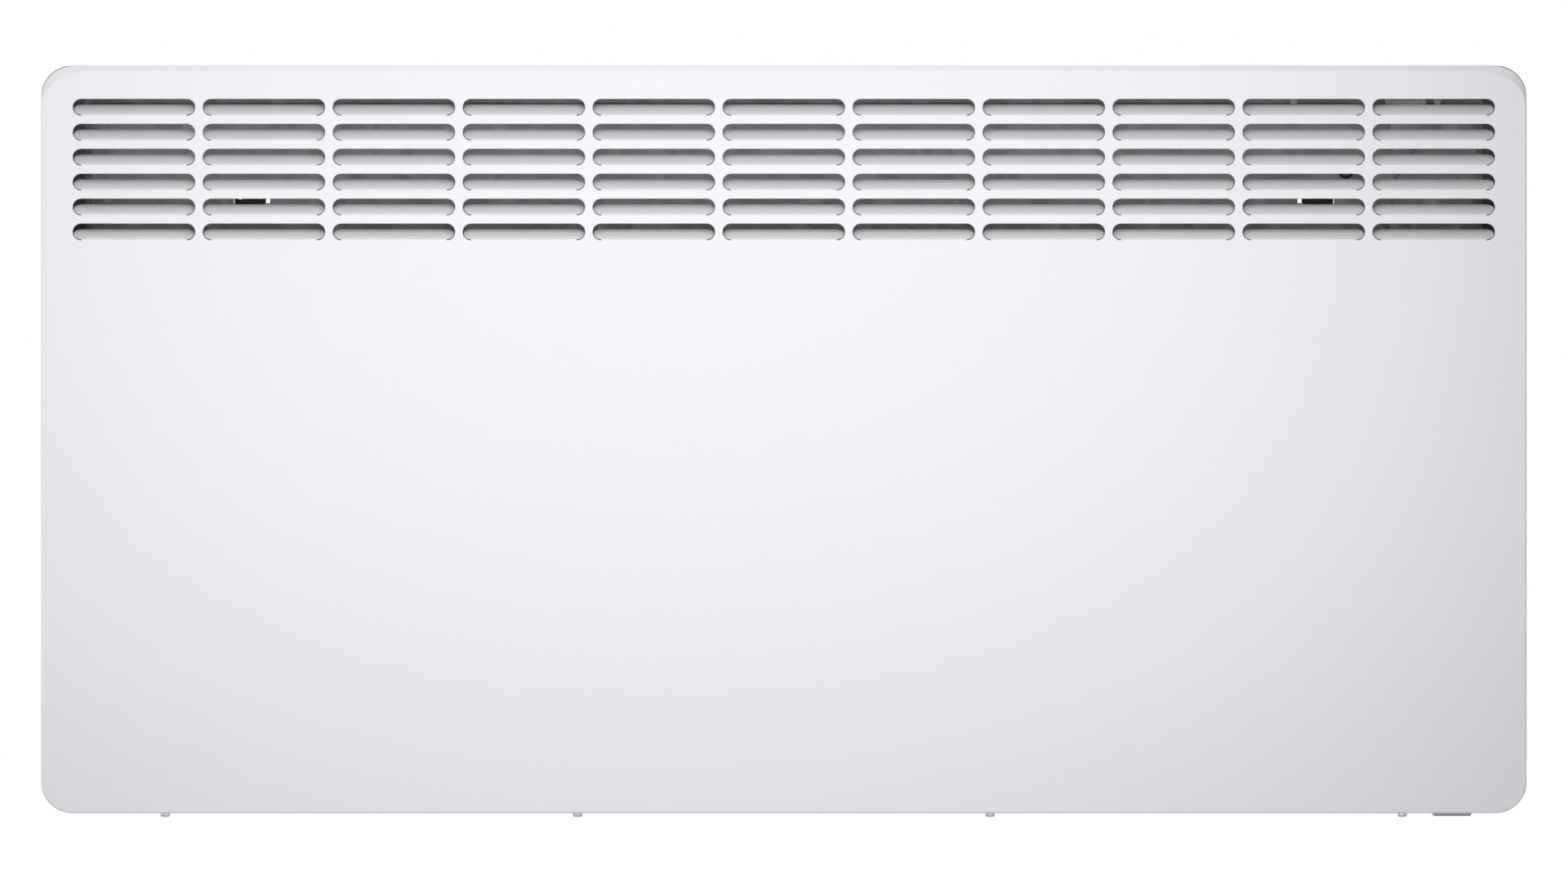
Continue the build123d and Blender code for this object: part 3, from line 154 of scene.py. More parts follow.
for name, (place, aim, size, power) in lamps.items():
    bpy.ops.object.light_add(type="AREA", location=place)
    lamp = bpy.context.object
    lamp.name = name
    lamp.rotation_euler = (Vector(aim) - Vector(place)).to_track_quat("-Z", "Y").to_euler()
    lamp.data.shape = "RECTANGLE"
    lamp.data.size, lamp.data.size_y = size
    lamp.data.energy = power

# ------------------------------------------------------------------- the floor
# A pale matt floor below the heater. It keeps the heater's shadow, turns white towards its
# rim, where it meets the white surroundings, and can be looked through from below.
floor_level = -0.33
floor_radius = 2.4
clear_radius = 0.35
white_radius = 1.7
white_share = 0.5  # of what is seen of the floor near the heater
floor_tones = ((0.84, 0.85, 0.86, 1), (0.88, 0.885, 0.89, 1))

bpy.ops.mesh.primitive_circle_add(
    vertices=96, radius=floor_radius, fill_type="NGON", location=(0, 0, floor_level)
)
floor = bpy.context.object
floor.name = "floor"
bpy.ops.object.transform_apply(location=True)
floor_paint = bpy.data.materials.new("floor_paint")
floor_paint.use_nodes = True
tree = floor_paint.node_tree
tree.nodes.clear()
place = add_node(tree, "TexCoord")
level = add_node(tree, "VectorMath", operation="MULTIPLY")
level.inputs[1].default_value = (1, 1, 0)
distance = add_node(tree, "VectorMath", operation="LENGTH")
fade = add_node(
    tree,
    "MapRange",
    {"From Min": clear_radius, "From Max": white_radius, "To Min": white_share},
    interpolation_type="SMOOTHSTEP",
)
speckle = add_node(tree, "TexNoise", {"Scale": 60.0, "Detail": 6.0})
tone = add_node(tree, "Mix", data_type="RGBA")
tone.inputs["A"].default_value, tone.inputs["B"].default_value = floor_tones
matt = add_node(tree, "BsdfPrincipled", {"Roughness": 0.8})
path = add_node(tree, "LightPath")
bright = add_node(tree, "Emission", {"Color": (1, 1, 1, 1), "Strength": 1.0})
share = add_node(tree, "Math", operation="MULTIPLY")
both = add_node(tree, "MixShader")
below = add_node(tree, "NewGeometry")
nothing = add_node(tree, "BsdfTransparent")
either = add_node(tree, "MixShader")
output = add_node(tree, "OutputMaterial")
link(
    tree,
    place.outputs["Object"], level.inputs[0],
    level.outputs[0], distance.inputs[0],
    distance.outputs["Value"], fade.inputs["Value"],
    place.outputs["Object"], speckle.inputs["Vector"],
    speckle.outputs["Fac"], tone.inputs["Factor"],
    tone.outputs["Result"], matt.inputs["Base Color"],
    fade.outputs["Result"], share.inputs[0],
    path.outputs["Is Camera Ray"], share.inputs[1],
    share.outputs[0], both.inputs[0],
    matt.outputs[0], both.inputs[1],
    bright.outputs[0], both.inputs[2],
    below.outputs["Backfacing"], either.inputs[0],
    both.outputs[0], either.inputs[1],
    nothing.outputs[0], either.inputs[2],
    either.outputs[0], output.inputs["Surface"],
)
floor.data.materials.append(floor_paint)

# --------------------------------------------------------------- casing shell
# A drawn rim of steel sheet with a shallow facet round the front, side and top walls and
# flanges turned in at the rear, in a white powder coat with a fine satin grain.
coat_tones = ((0.872, 0.880, 0.900, 1), (0.892, 0.900, 0.918, 1))
coat_roughness = (0.40, 0.50)
grain_size = 0.0011
peel_size = 0.004
peel_share = 0.35
coat_relief = 0.0002


def new_group(name, inputs, outputs):
    """A shader group that reads a vector and numbers, and puts out masks or heights."""
    group = bpy.data.node_groups.new(name, "ShaderNodeTree")
    group.interface.new_socket(name="Vector", in_out="INPUT", socket_type="NodeSocketVector")
    for socket, value in inputs.items():
        made = group.interface.new_socket(
            name=socket, in_out="INPUT", socket_type="NodeSocketFloat"
        )
        made.default_value = value
    for socket in outputs:
        group.interface.new_socket(name=socket, in_out="OUTPUT", socket_type="NodeSocketFloat")
    return group, group.nodes.new("NodeGroupInput"), group.nodes.new("NodeGroupOutput")


def add_texture(group, given, kind, scale, values=None, **settings):
    """Adds a texture to a shader group, on its vector and at one of its scales."""
    texture = add_node(group, kind, values, **settings)
    link(
        group,
        given.outputs["Vector"], texture.inputs["Vector"],
        given.outputs[scale], texture.inputs["Scale"],
    )
    return texture


def new_material(name, values):
    """A material, its node tree and its Principled shader with some plain values."""
    material = bpy.data.materials.new(name)
    material.use_nodes = True
    shader = material.node_tree.nodes["Principled BSDF"]
    for socket, value in values.items():
        shader.inputs[socket].default_value = value
    return material, material.node_tree, shader


def use_group(tree, group, values):
    """Puts a shader group into a material, on the piece's own coordinates."""
    coordinates = add_node(tree, "TexCoord")
    used = add_node(tree, "Group", node_tree=group)
    tree.links.new(coordinates.outputs["Object"], used.inputs["Vector"])
    for socket, value in values.items():
        used.inputs[socket].default_value = value
    return used


def vary_colour(tree, shader, mask, tones):
    """Runs the base colour between two tones by a mask."""
    mix = add_node(tree, "Mix", data_type="RGBA")
    mix.inputs["A"].default_value, mix.inputs["B"].default_value = tones
    link(tree, mask, mix.inputs["Factor"], mix.outputs["Result"], shader.inputs["Base Color"])


def vary_roughness(tree, shader, mask, span):
    """Runs the roughness between two values by a mask."""
    spread = add_node(tree, "MapRange", {"To Min": span[0], "To Max": span[1]})
    link(tree, mask, spread.inputs["Value"], spread.outputs["Result"], shader.inputs["Roughness"])


def raise_surface(tree, shader, height, strength, distance):
    """Turns a height into a bump on the surface."""
    bump = add_node(tree, "Bump", {"Strength": strength, "Distance": distance})
    link(tree, height, bump.inputs["Height"], bump.outputs["Normal"], shader.inputs["Normal"])


def surface(name, group, scales, tones, roughness, bump, values):
    """A material on a shader group. Its tones, roughness and bump each begin with the name of
    the group's output that they run by."""
    material, tree, shader = new_material(name, values)
    used = use_group(tree, group, scales)
    vary_colour(tree, shader, used.outputs[tones[0]], tones[1])
    vary_roughness(tree, shader, used.outputs[roughness[0]], roughness[1])
    raise_surface(tree, shader, used.outputs[bump[0]], *bump[1:])
    return material


def dress(material, *names):
    """Gives the frame's pieces their finish."""
    for name in names:
        for holder in nodes[name].material_slots:
            holder.material = material


# Fine cured powder: grain over a longer soft waviness, as a height and as a tone.
cured_powder, given, made = new_group(
    "cured_powder", {"Grain": 900.0, "Peel": 250.0}, ("Height", "Tone")
)
grain = add_texture(cured_powder, given, "TexNoise", "Grain", {"Detail": 4.0, "Roughness": 0.65})
peel = add_texture(cured_powder, given, "TexVoronoi", "Peel", feature="SMOOTH_F1")
summed = add_node(cured_powder, "Math", operation="MULTIPLY_ADD")
summed.inputs[1].default_value = peel_share
toned = add_node(cured_powder, "MapRange", {"From Min": 0.35, "From Max": 0.65})
link(
    cured_powder,
    peel.outputs["Distance"], summed.inputs[0],
    grain.outputs["Fac"], summed.inputs[2],
    summed.outputs[0], made.inputs["Height"],
    grain.outputs["Fac"], toned.inputs["Value"],
    toned.outputs["Result"], made.inputs["Tone"],
)

powder_coat = surface(
    "powder_coat",
    cured_powder,
    {"Grain": 1 / grain_size, "Peel": 1 / peel_size},
    ("Tone", coat_tones),
    ("Tone", coat_roughness),
    ("Height", 0.10, coat_relief),
    {"IOR": 1.5},
)

# The sheet's inner side has a thin grey dusting of the powder, darkened as painted shade for the
# dim inside of the casing.
thin_tones_with_painted_shade = ((0.22, 0.225, 0.235, 1), (0.32, 0.325, 0.335, 1))
thin_coat_with_painted_shade = surface(
    "thin_inner_coat_painted_shade",
    cured_powder,
    {"Grain": 0.3 / grain_size, "Peel": 0.2 / peel_size},
    ("Tone", thin_tones_with_painted_shade),
    ("Tone", (0.55, 0.75)),
    ("Height", 0.15, coat_relief),
    {"IOR": 1.5},
)

# --------------------------------------------------------------- louvred front
# Flat steel sheet, lanced and bent inwards in six rows of eleven louvres. The fronts of its cut
# edges are rounded by the same powder coat, so the rims of the slots catch the light. The cut edges
# themselves and the inner side take the dark thin coat, as painted shade.
sheet = 0.0008
pitch_x, pitch_z = 0.0782, 0.0150
columns, rows = 11, 6
slot_half, slot_radius = 0.0318, 0.0050
tab_half = 0.03625
tab_reach = 0.0094
bend_radius = 0.0010
bend_angle = radians(41)
tip_angle = radians(60)
bend_steps, tab_steps = 5, 16
first_row_drop = 0.0252
rim_rounding = 0.0003
end_steps = 15
corner_step = 4
outline_steps = 24
near = 0.00002
join_distance = 0.000005
sharp_angle = radians(30)
cut_angle = radians(60)
top_corner = (0.030, 0.0197)
low_corner = 0.018


def copy_node(name, piece_name=None, flat_angle=0.5):
    """Copies a frame piece with its triangles joined, and leaves the copy in edit mode."""
    bpy.ops.object.select_all(action="DESELECT")
    piece = bpy.data.objects.new(piece_name or name + "_dressed", nodes[name].data.copy())
    bpy.context.scene.collection.objects.link(piece)
    piece.select_set(True)
    bpy.context.view_layer.objects.active = piece
    bpy.ops.mesh.customdata_custom_splitnormals_clear()
    bpy.ops.object.mode_set(mode="EDIT")
    bpy.ops.mesh.select_mode(type="VERT")
    bpy.ops.mesh.select_all(action="SELECT")
    bpy.ops.mesh.remove_doubles(threshold=join_distance)
    if flat_angle:
        bpy.ops.mesh.dissolve_limited(angle_limit=radians(flat_angle))
    bpy.ops.mesh.select_all(action="DESELECT")
    return piece


def apply_modifier(piece, kind, **settings):
    """Adds a modifier to the active piece and applies it."""
    modifier = piece.modifiers.new(kind.lower(), kind)
    for name, value in settings.items():
        setattr(modifier, name, value)
    bpy.ops.object.modifier_apply(modifier=modifier.name)


def finish_piece(piece, material, slot, body, *replaced, smooth_below=40):
    """Shades a piece, gives it its finish and body, and lets it stand for frame pieces."""
    bpy.ops.object.mode_set(mode="OBJECT")
    bpy.ops.object.select_all(action="DESELECT")
    piece.select_set(True)
    bpy.context.view_layer.objects.active = piece
    bpy.ops.object.shade_smooth_by_angle(angle=radians(smooth_below))
    apply_modifier(piece, "WEIGHTED_NORMAL", keep_sharp=True)
    if material:
        piece.data.materials.clear()
        piece.data.materials.append(material)
    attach(piece, body)
    if replaced:
        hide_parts(*replaced)
    return piece


def soften(material, rounding, *names, segments=2):
    """Replaces frame pieces by copies with rounded edges."""
    for name in names:
        source = nodes[name]
        piece = copy_node(name)
        bpy.ops.object.mode_set(mode="OBJECT")
        apply_modifier(
            piece,
            "BEVEL",
            width=rounding,
            segments=segments,
            limit_method="ANGLE",
            angle_limit=sharp_angle,
            use_clamp_overlap=False,
        )
        finish_piece(
            piece, material, source.material_slots[0].material.name, source["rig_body"], name
        )


def select_where(piece, chosen, mode="VERT"):
    """Selects the active mesh's vertices, or the edges or faces whose vertices all fit."""
    bpy.ops.mesh.select_mode(type=mode)
    bpy.ops.mesh.select_all(action="DESELECT")
    mesh = bmesh.from_edit_mesh(piece.data)
    for part in {"VERT": mesh.verts, "EDGE": mesh.edges, "FACE": mesh.faces}[mode]:
        points = [part.co] if mode == "VERT" else [vertex.co for vertex in part.verts]
        if all(chosen(point) for point in points):
            part.select_set(True)
    mesh.select_flush_mode()
    bmesh.update_edit_mesh(piece.data)


def face_outwards():
    """Turns all faces of the mesh in edit mode outwards."""
    bpy.ops.mesh.select_all(action="SELECT")
    bpy.ops.mesh.normals_make_consistent(inside=False)


def start_piece(name, add_primitive, **settings):
    """Adds a primitive at its place, names it and opens it in edit mode."""
    bpy.ops.object.select_all(action="DESELECT")
    add_primitive(**settings)
    piece = bpy.context.object
    piece.name = name
    bpy.ops.object.transform_apply(location=True, rotation=True, scale=True)
    bpy.ops.object.mode_set(mode="EDIT")
    return piece


panel_low, panel_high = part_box("front_panel")
rear_wall_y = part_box("casing_shell")[1].y
shell_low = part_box("casing_shell")[0].z
top_z = cad_high.z

# One louvre: a ring round the slot, pulled out to the edges of its field.
front = start_piece(
    "louvred_front",
    bpy.ops.mesh.primitive_circle_add,
    vertices=2 * (end_steps + 1),
    radius=slot_radius,
    location=(0, front_y, 0),
)
bpy.ops.mesh.select_all(action="SELECT")
bpy.ops.mesh.extrude_edges_move()
mesh = bmesh.from_edit_mesh(front.data)
mesh.verts.ensure_lookup_table()
ring = mesh.verts[: 2 * (end_steps + 1)]
half_x, half_z = pitch_x / 2, pitch_z / 2
side_steps = end_steps - 2 * corner_step
for index, vertex in enumerate(ring):
    side = 1 if index <= end_steps else -1
    step = index % (end_steps + 1)
    turn = pi * step / end_steps - pi / 2
    vertex.co = (
        side * (slot_half + slot_radius * cos(turn)),
        front_y,
        side * slot_radius * sin(turn),
    )
    outer = next(end for edge in vertex.link_edges for end in edge.verts if end not in ring)
    along = min(step, end_steps - step) / corner_step
    reach = slot_half + (half_x - slot_half) * min(along, 1)
    rise = max(-1, min(1, 2 * (step - corner_step) / side_steps - 1))
    outer.co = (side * reach, front_y, side * rise * half_z)
bmesh.update_edit_mesh(front.data)

# Its tab: the slot's straight lower edge, drawn up and inwards round the bend in a curve
# that leans more and more towards its tip.
select_where(front, lambda point: abs(point.z + slot_radius) < near and abs(point.x) < half_x)
for step in range(1, bend_steps + 1):
    turn = bend_angle * step / bend_steps
    past = bend_angle * (step - 1) / bend_steps
    rise = bend_radius * (sin(turn) - sin(past))
    depth = bend_radius * (cos(past) - cos(turn))
    bpy.ops.mesh.extrude_edges_move(TRANSFORM_OT_translate={"value": (0, depth, rise)})
corner_reach = tab_half - slot_half
corner_rise = tab_reach / 2
height, width = 0.0, slot_half
for step in range(1, tab_steps + 1):
    turn = pi * step / tab_steps
    new_height = corner_rise * (1 - cos(turn))
    new_width = slot_half + corner_reach * sin(turn)
    rise = new_height - height
    lean = bend_angle + (tip_angle - bend_angle) * (height + new_height) / 2 / tab_reach
    bpy.ops.mesh.extrude_edges_move(
        TRANSFORM_OT_translate={"value": (0, rise * sin(lean), rise * cos(lean))}
    )
    bpy.ops.transform.resize(value=(new_width / width, 1, 1), center_override=(0, 0, 0))
    height, width = new_height, new_width
bpy.ops.mesh.select_all(action="SELECT")
bpy.ops.transform.translate(
    value=(
        -(columns - 1) / 2 * pitch_x,
        0,
        top_z - first_row_drop - (rows - 1) * pitch_z,
    )
)
bpy.ops.object.mode_set(mode="OBJECT")
for count, offset in ((columns, (pitch_x, 0, 0)), (rows, (0, 0, pitch_z))):
    apply_modifier(
        front,
        "ARRAY",
        count=count,
        use_relative_offset=False,
        use_constant_offset=True,
        constant_offset_displace=offset,
        use_merge_vertices=True,
        merge_threshold=near,
    )

# The plain plate round the louvres, up to the casing's facet.
top_start = panel_high.z - top_corner[1]
low_start = panel_low.z + low_corner
field_x = columns * pitch_x / 2
field_top = top_z - first_row_drop + half_z
field_low = field_top - rows * pitch_z
bpy.ops.object.mode_set(mode="EDIT")
bpy.ops.mesh.select_all(action="DESELECT")
panel_middle = (panel_low + panel_high) / 2
panel_middle.y = front_y
bpy.ops.mesh.primitive_plane_add(size=1, location=panel_middle, rotation=(pi / 2, 0, 0))
bpy.ops.transform.resize(
    value=(panel_high.x - panel_low.x, 1, panel_high.z - panel_low.z),
    center_override=panel_middle,
)
bpy.ops.mesh.delete(type="ONLY_FACE")
for level, reach in ((panel_high.z, top_corner[1]), (panel_low.z, low_corner)):
    select_where(front, lambda point: abs(point.z - level) < near)
    bpy.ops.mesh.bevel(offset=reach, segments=outline_steps, affect="VERTICES", clamp_overlap=False)
mesh = bmesh.from_edit_mesh(front.data)
stretch = top_corner[0] / top_corner[1]
for vertex in mesh.verts:
    past = abs(vertex.co.x) - (panel_high.x - top_corner[1])
    if not vertex.link_faces and vertex.co.z > top_start - near and past > -near:
        side = 1 if vertex.co.x > 0 else -1
        vertex.co.x = side * (panel_high.x - top_corner[0] + past * stretch)
bmesh.update_edit_mesh(front.data)


def fill_plate(chosen):
    """Fills one side of the plate: a face inside the open edges whose ends all fit."""
    select_where(front, chosen, "EDGE")
    mesh = bmesh.from_edit_mesh(front.data)
    for edge in mesh.edges:
        if edge.select and len(edge.link_faces) > 1:
            edge.select_set(False)
    bmesh.update_edit_mesh(front.data)
    bpy.ops.mesh.edge_face_add()


for side in (-1, 1):
    for start, field_end in ((top_start, field_top), (low_start, field_low)):
        ends = ((side * panel_high.x, start), (side * field_x, field_end))
        select_where(
            front,
            lambda point: any(abs(point.x - x) < near and abs(point.z - z) < near for x, z in ends),
        )
        bpy.ops.mesh.edge_face_add()
fill_plate(
    lambda point: point.z > field_top - near
    or (abs(point.x) > field_x + near and point.z > top_start - near)
)
fill_plate(
    lambda point: point.z < field_low + near
    and (abs(point.x) < field_x + near or point.z < low_start + near)
)
for side in (-1, 1):
    fill_plate(
        lambda point: side * point.x > field_x - near
        and (side * point.x < field_x + near or low_start - near < point.z < top_start + near)
    )
face_outwards()
mesh = bmesh.from_edit_mesh(front.data)
if sum(face.normal.y * face.calc_area() for face in mesh.faces) > 0:
    bpy.ops.mesh.flip_normals()
bpy.ops.object.mode_set(mode="OBJECT")
front.data.materials.append(powder_coat)
front.data.materials.append(thin_coat_with_painted_shade)
# The inner side and the cut edges take the thin coat: painted shade, which also makes the kerfs
# read dark.
apply_modifier(
    front,
    "SOLIDIFY",
    thickness=sheet,
    offset=-1,
    use_even_offset=True,
    material_offset=1,
    material_offset_rim=1,
)
bpy.ops.object.mode_set(mode="EDIT")
select_where(
    front,
    lambda point: abs(point.x) < field_x - near
    and field_low < point.z < field_top
    and point.y < front_y + near,
    "EDGE",
)
mesh = bmesh.from_edit_mesh(front.data)
for edge in mesh.edges:
    if edge.select and not edge.calc_face_angle(0) > cut_angle:
        edge.select_set(False)
bmesh.update_edit_mesh(front.data)
bpy.ops.mesh.bevel(offset=rim_rounding, segments=2, affect="EDGES", clamp_overlap=False)
select_where(front, lambda point: point.y < front_y)
bpy.ops.transform.resize(value=(1, 0, 1), center_override=(0, front_y, 0))
finish_piece(front, None, "white_powder_coat", "heater", "front_panel")

# The drawn rim: coated like the front outside, and inside with the thin coat, whose dark grey is
# painted shade.
rim = copy_node("casing_shell", "casing_rim", flat_angle=0)
within = 1.5 * sheet
select_where(
    rim,
    lambda point: abs(point.x) < cad_high.x - sheet / 2
    and shell_low + sheet / 2 < point.z < cad_high.z - sheet / 2
    and front_y + within < point.y < rear_wall_y - sheet / 2,
    "FACE",
)
# Its inner faces get the thin coat, whose dark grey is painted shade.
rim.data.materials.clear()
rim.data.materials.append(powder_coat)
rim.data.materials.append(thin_coat_with_painted_shade)
rim.active_material_index = 1
bpy.ops.object.material_slot_assign()
finish_piece(rim, None, "white_powder_coat", "heater", "casing_shell")

# ------------------------------------------------------------------ rear panel
# Folded from galvanised sheet, whose zinc froze in flat crystals of slightly unlike grey.
# Its face stands forward of its screwed lips and has pressed bands, swages and windows.
zinc_tones = ((0.38, 0.385, 0.39, 1), (0.465, 0.47, 0.475, 1))
zinc_roughness = (0.42, 0.60)
crystal_size = 0.006
crystal_warp = 0.004
sheet_rounding = 0.00022

zinc_spangle, given, made = new_group(
    "zinc_spangle", {"Crystals": 100.0, "Scuffs": 400.0}, ("Tone", "Shine")
)
warp = add_texture(zinc_spangle, given, "TexNoise", "Scuffs", {"Detail": 3.0})
bent = add_node(zinc_spangle, "VectorMath", operation="MULTIPLY_ADD")
bent.inputs[1].default_value = (crystal_warp,) * 3
crystal = add_node(zinc_spangle, "TexVoronoi", feature="F1")
picked = add_node(zinc_spangle, "SeparateColor")
scuff = add_texture(
    zinc_spangle, given, "TexNoise", "Scuffs", {"Detail": 6.0, "Roughness": 0.7}
)
shade = add_node(zinc_spangle, "Mix", {"Factor": 0.4})
link(
    zinc_spangle,
    warp.outputs["Color"], bent.inputs[0],
    given.outputs["Vector"], bent.inputs[2],
    bent.outputs[0], crystal.inputs["Vector"],
    given.outputs["Crystals"], crystal.inputs["Scale"],
    crystal.outputs["Color"], picked.inputs["Color"],
    picked.outputs["Red"], shade.inputs["A"],
    scuff.outputs["Fac"], shade.inputs["B"],
    shade.outputs["Result"], made.inputs["Tone"],
    picked.outputs["Green"], made.inputs["Shine"],
)

galvanised = surface(
    "galvanised_steel",
    zinc_spangle,
    {"Crystals": 1 / crystal_size, "Scuffs": 350.0},
    ("Tone", zinc_tones),
    ("Shine", zinc_roughness),
    ("Tone", 0.05, 0.0002),
    {"Metallic": 1.0},
)
soften(galvanised, sheet_rounding, "rear_panel")

# ---------------------------------------------------------------- wall bracket
# Two folded uprights and a crossbar, cut from the same galvanised sheet and riveted. The
# heater hangs in the hooks at the uprights' lower ends.
bracket_rounding = 0.0003
rivet_tones = ((0.50, 0.51, 0.52, 1), (0.66, 0.67, 0.69, 1))
fine_relief = 0.0001

soften(
    galvanised,
    bracket_rounding,
    "bracket_upright_left",
    "bracket_upright_right",
    "bracket_crossbar",
)

# Bright zinc plate on rivets and screws: cloudy, with fine dull scuffs.
plated, given, made = new_group(
    "cloudy_plate", {"Clouds": 500.0, "Scuffs": 3000.0}, ("Cloud", "Scuff")
)
cloud = add_texture(plated, given, "TexNoise", "Clouds", {"Detail": 3.0})
scuff = add_texture(plated, given, "TexNoise", "Scuffs", {"Detail": 5.0, "Roughness": 0.75})
link(
    plated,
    cloud.outputs["Fac"], made.inputs["Cloud"],
    scuff.outputs["Fac"], made.inputs["Scuff"],
)


def metal(name, tones, roughness, clouds=500.0, scuffs=3000.0):
    """A metal whose tone and gloss vary in clouds and fine scuffs."""
    return surface(
        name,
        plated,
        {"Clouds": clouds, "Scuffs": scuffs},
        ("Cloud", tones),
        ("Scuff", roughness),
        ("Scuff", 0.05, fine_relief),
        {"Metallic": 1.0},
    )


zinc_plate = metal("zinc_plated_steel", rivet_tones, (0.28, 0.45))
dress(zinc_plate, "bracket_rivets", "rear_screws", "bottom_screws", "shield_screws", "earth_screw")

# ----------------------------------------------------------------- wall catches
# Black polyamide catches snapped into the rear panel's windows. Their mouths take the
# tongues of the wall bracket.
black_tones = ((0.018, 0.018, 0.020, 1), (0.030, 0.030, 0.032, 1))
plastic_rounding = 0.0004

moulded_skin, given, made = new_group(
    "moulded_skin", {"Sparks": 2500.0, "Flow": 60.0}, ("Height", "Tone", "Gloss")
)
sparks = add_texture(
    moulded_skin, given, "TexNoise", "Sparks", {"Detail": 3.0, "Roughness": 0.6}
)
flow = add_texture(moulded_skin, given, "TexNoise", "Flow", {"Detail": 2.0, "Distortion": 0.6})
blend = add_node(moulded_skin, "Mix", {"Factor": 0.5})
link(
    moulded_skin,
    flow.outputs["Fac"], blend.inputs["A"],
    sparks.outputs["Fac"], blend.inputs["B"],
    sparks.outputs["Fac"], made.inputs["Height"],
    blend.outputs["Result"], made.inputs["Tone"],
    flow.outputs["Fac"], made.inputs["Gloss"],
)


def moulded(name, tones, roughness=(0.38, 0.52), sparks=2500.0, bump=0.12, values=None):
    """A moulded plastic with a spark-eroded skin and faint flow marks."""
    return surface(
        name,
        moulded_skin,
        {"Sparks": sparks, "Flow": 60.0},
        ("Tone", tones),
        ("Gloss", roughness),
        ("Height", bump, fine_relief),
        {"IOR": 1.5, **(values or {})},
    )


black_plastic = moulded("black_polyamide", black_tones)
soften(black_plastic, plastic_rounding, "catch_left", "catch_right")

# ------------------------------------------------------------------ push rivet
# A black polyamide push rivet with a grey pin closes the hole of the boss pressed into the
# rear panel.
pin_tones = ((0.200, 0.205, 0.212, 1), (0.250, 0.255, 0.262, 1))
boss_place = (0.3397, 0.162)
boss_face = 0.0012  # above the panel's face
panel_face_y = -0.0260
pin_radius = 0.0030
groove_depth = 0.0002
turned_steps = 48
# Depth behind the boss's face, and radius, from the pin outwards and down the shank
rivet_stations = (
    (-0.0002, 0.0028),
    (0.0001, 0.0030),
    (0.0001, 0.0034),
    (-0.0005, 0.0037),
    (-0.0006, 0.0041),
    (-0.0003, 0.0045),
    (0.0000, 0.0046),
    (0.0000, 0.0033),
    (0.0010, 0.0031),
)


def add_turned(name, place, axis, stations, capped=True):
    """Turns a round piece about Y or Z, station by station: a capped one or a closed ring."""
    axis = Vector(axis)
    first_depth, first_radius = stations[0]
    piece = start_piece(
        name,
        bpy.ops.mesh.primitive_circle_add,
        vertices=turned_steps,
        radius=first_radius,
        fill_type="NGON" if capped else "NOTHING",
        location=Vector(place) + first_depth * axis,
        rotation=(pi / 2, 0, 0) if axis.y else (0, 0, 0),
    )
    bpy.ops.mesh.select_all(action="SELECT")
    for (past_depth, past_radius), (depth, radius) in zip(stations, stations[1:]):
        bpy.ops.mesh.extrude_edges_move(
            TRANSFORM_OT_translate={"value": (depth - past_depth) * axis}
        )
        growth = radius / past_radius
        bpy.ops.transform.resize(
            value=[1 if part else growth for part in axis], center_override=place
        )
    if capped:
        bpy.ops.mesh.edge_face_add()
    bpy.ops.mesh.select_all(action="SELECT")
    bpy.ops.mesh.remove_doubles(threshold=join_distance)
    face_outwards()
    return piece


rivet_centre = Vector((boss_place[0], panel_face_y - boss_face, boss_place[1]))
rivet = add_turned("push_rivet", rivet_centre, (0, 1, 0), rivet_stations)
select_where(
    rivet,
    lambda point: (point - rivet_centre).xz.length < pin_radius + near
    and point.y < rivet_centre.y + groove_depth,
    "FACE",
)
grey_pin = moulded("grey_pin", pin_tones)
rivet.data.materials.append(black_plastic)
rivet.data.materials.append(grey_pin)
rivet.active_material_index = 1
bpy.ops.object.material_slot_assign()
finish_piece(rivet, None, "black_plastic", "heater")

# ------------------------------------------------------------- heating element
# A hairpin sheathed heating tube with pressed-on aluminium fins. Its sheath has the straw
# and blue tint of steel that has been hot.
sheath_tones = ((0.34, 0.30, 0.26, 1), (0.50, 0.45, 0.38, 1))
fin_tones = ((0.70, 0.71, 0.72, 1), (0.82, 0.83, 0.84, 1))

dress(metal("hot_sheath_steel", sheath_tones, (0.30, 0.48), clouds=90.0), "heating_tube")
aluminium = metal("fin_aluminium", fin_tones, (0.26, 0.42), clouds=70.0, scuffs=1500.0)
dress(aluminium, "heating_fins", "heat_sink")

# Steatite bushes and terminal insulators, and tinned brass studs and blades.
ceramic_tones = ((0.76, 0.74, 0.69, 1), (0.86, 0.84, 0.80, 1))
brass_tones = ((0.60, 0.53, 0.38, 1), (0.74, 0.69, 0.56, 1))

dress(moulded("steatite", ceramic_tones, (0.32, 0.60), 1600.0, 0.2), "element_bushes")
dress(metal("tinned_brass", brass_tones, (0.25, 0.40)), "element_terminals", "switch_terminals")

# ----------------------------------------------------------- element's brackets
# Two galvanised brackets carry the bushes between the heat shields, which are aluminised
# sheet with hemmed edges and fine rolling lines along their length.
shield_tones = ((0.60, 0.61, 0.62, 1), (0.74, 0.75, 0.76, 1))
rolled_stretch = (0.03, 1.0, 1.0)

soften(galvanised, sheet_rounding, "element_bracket_left", "element_bracket_right")

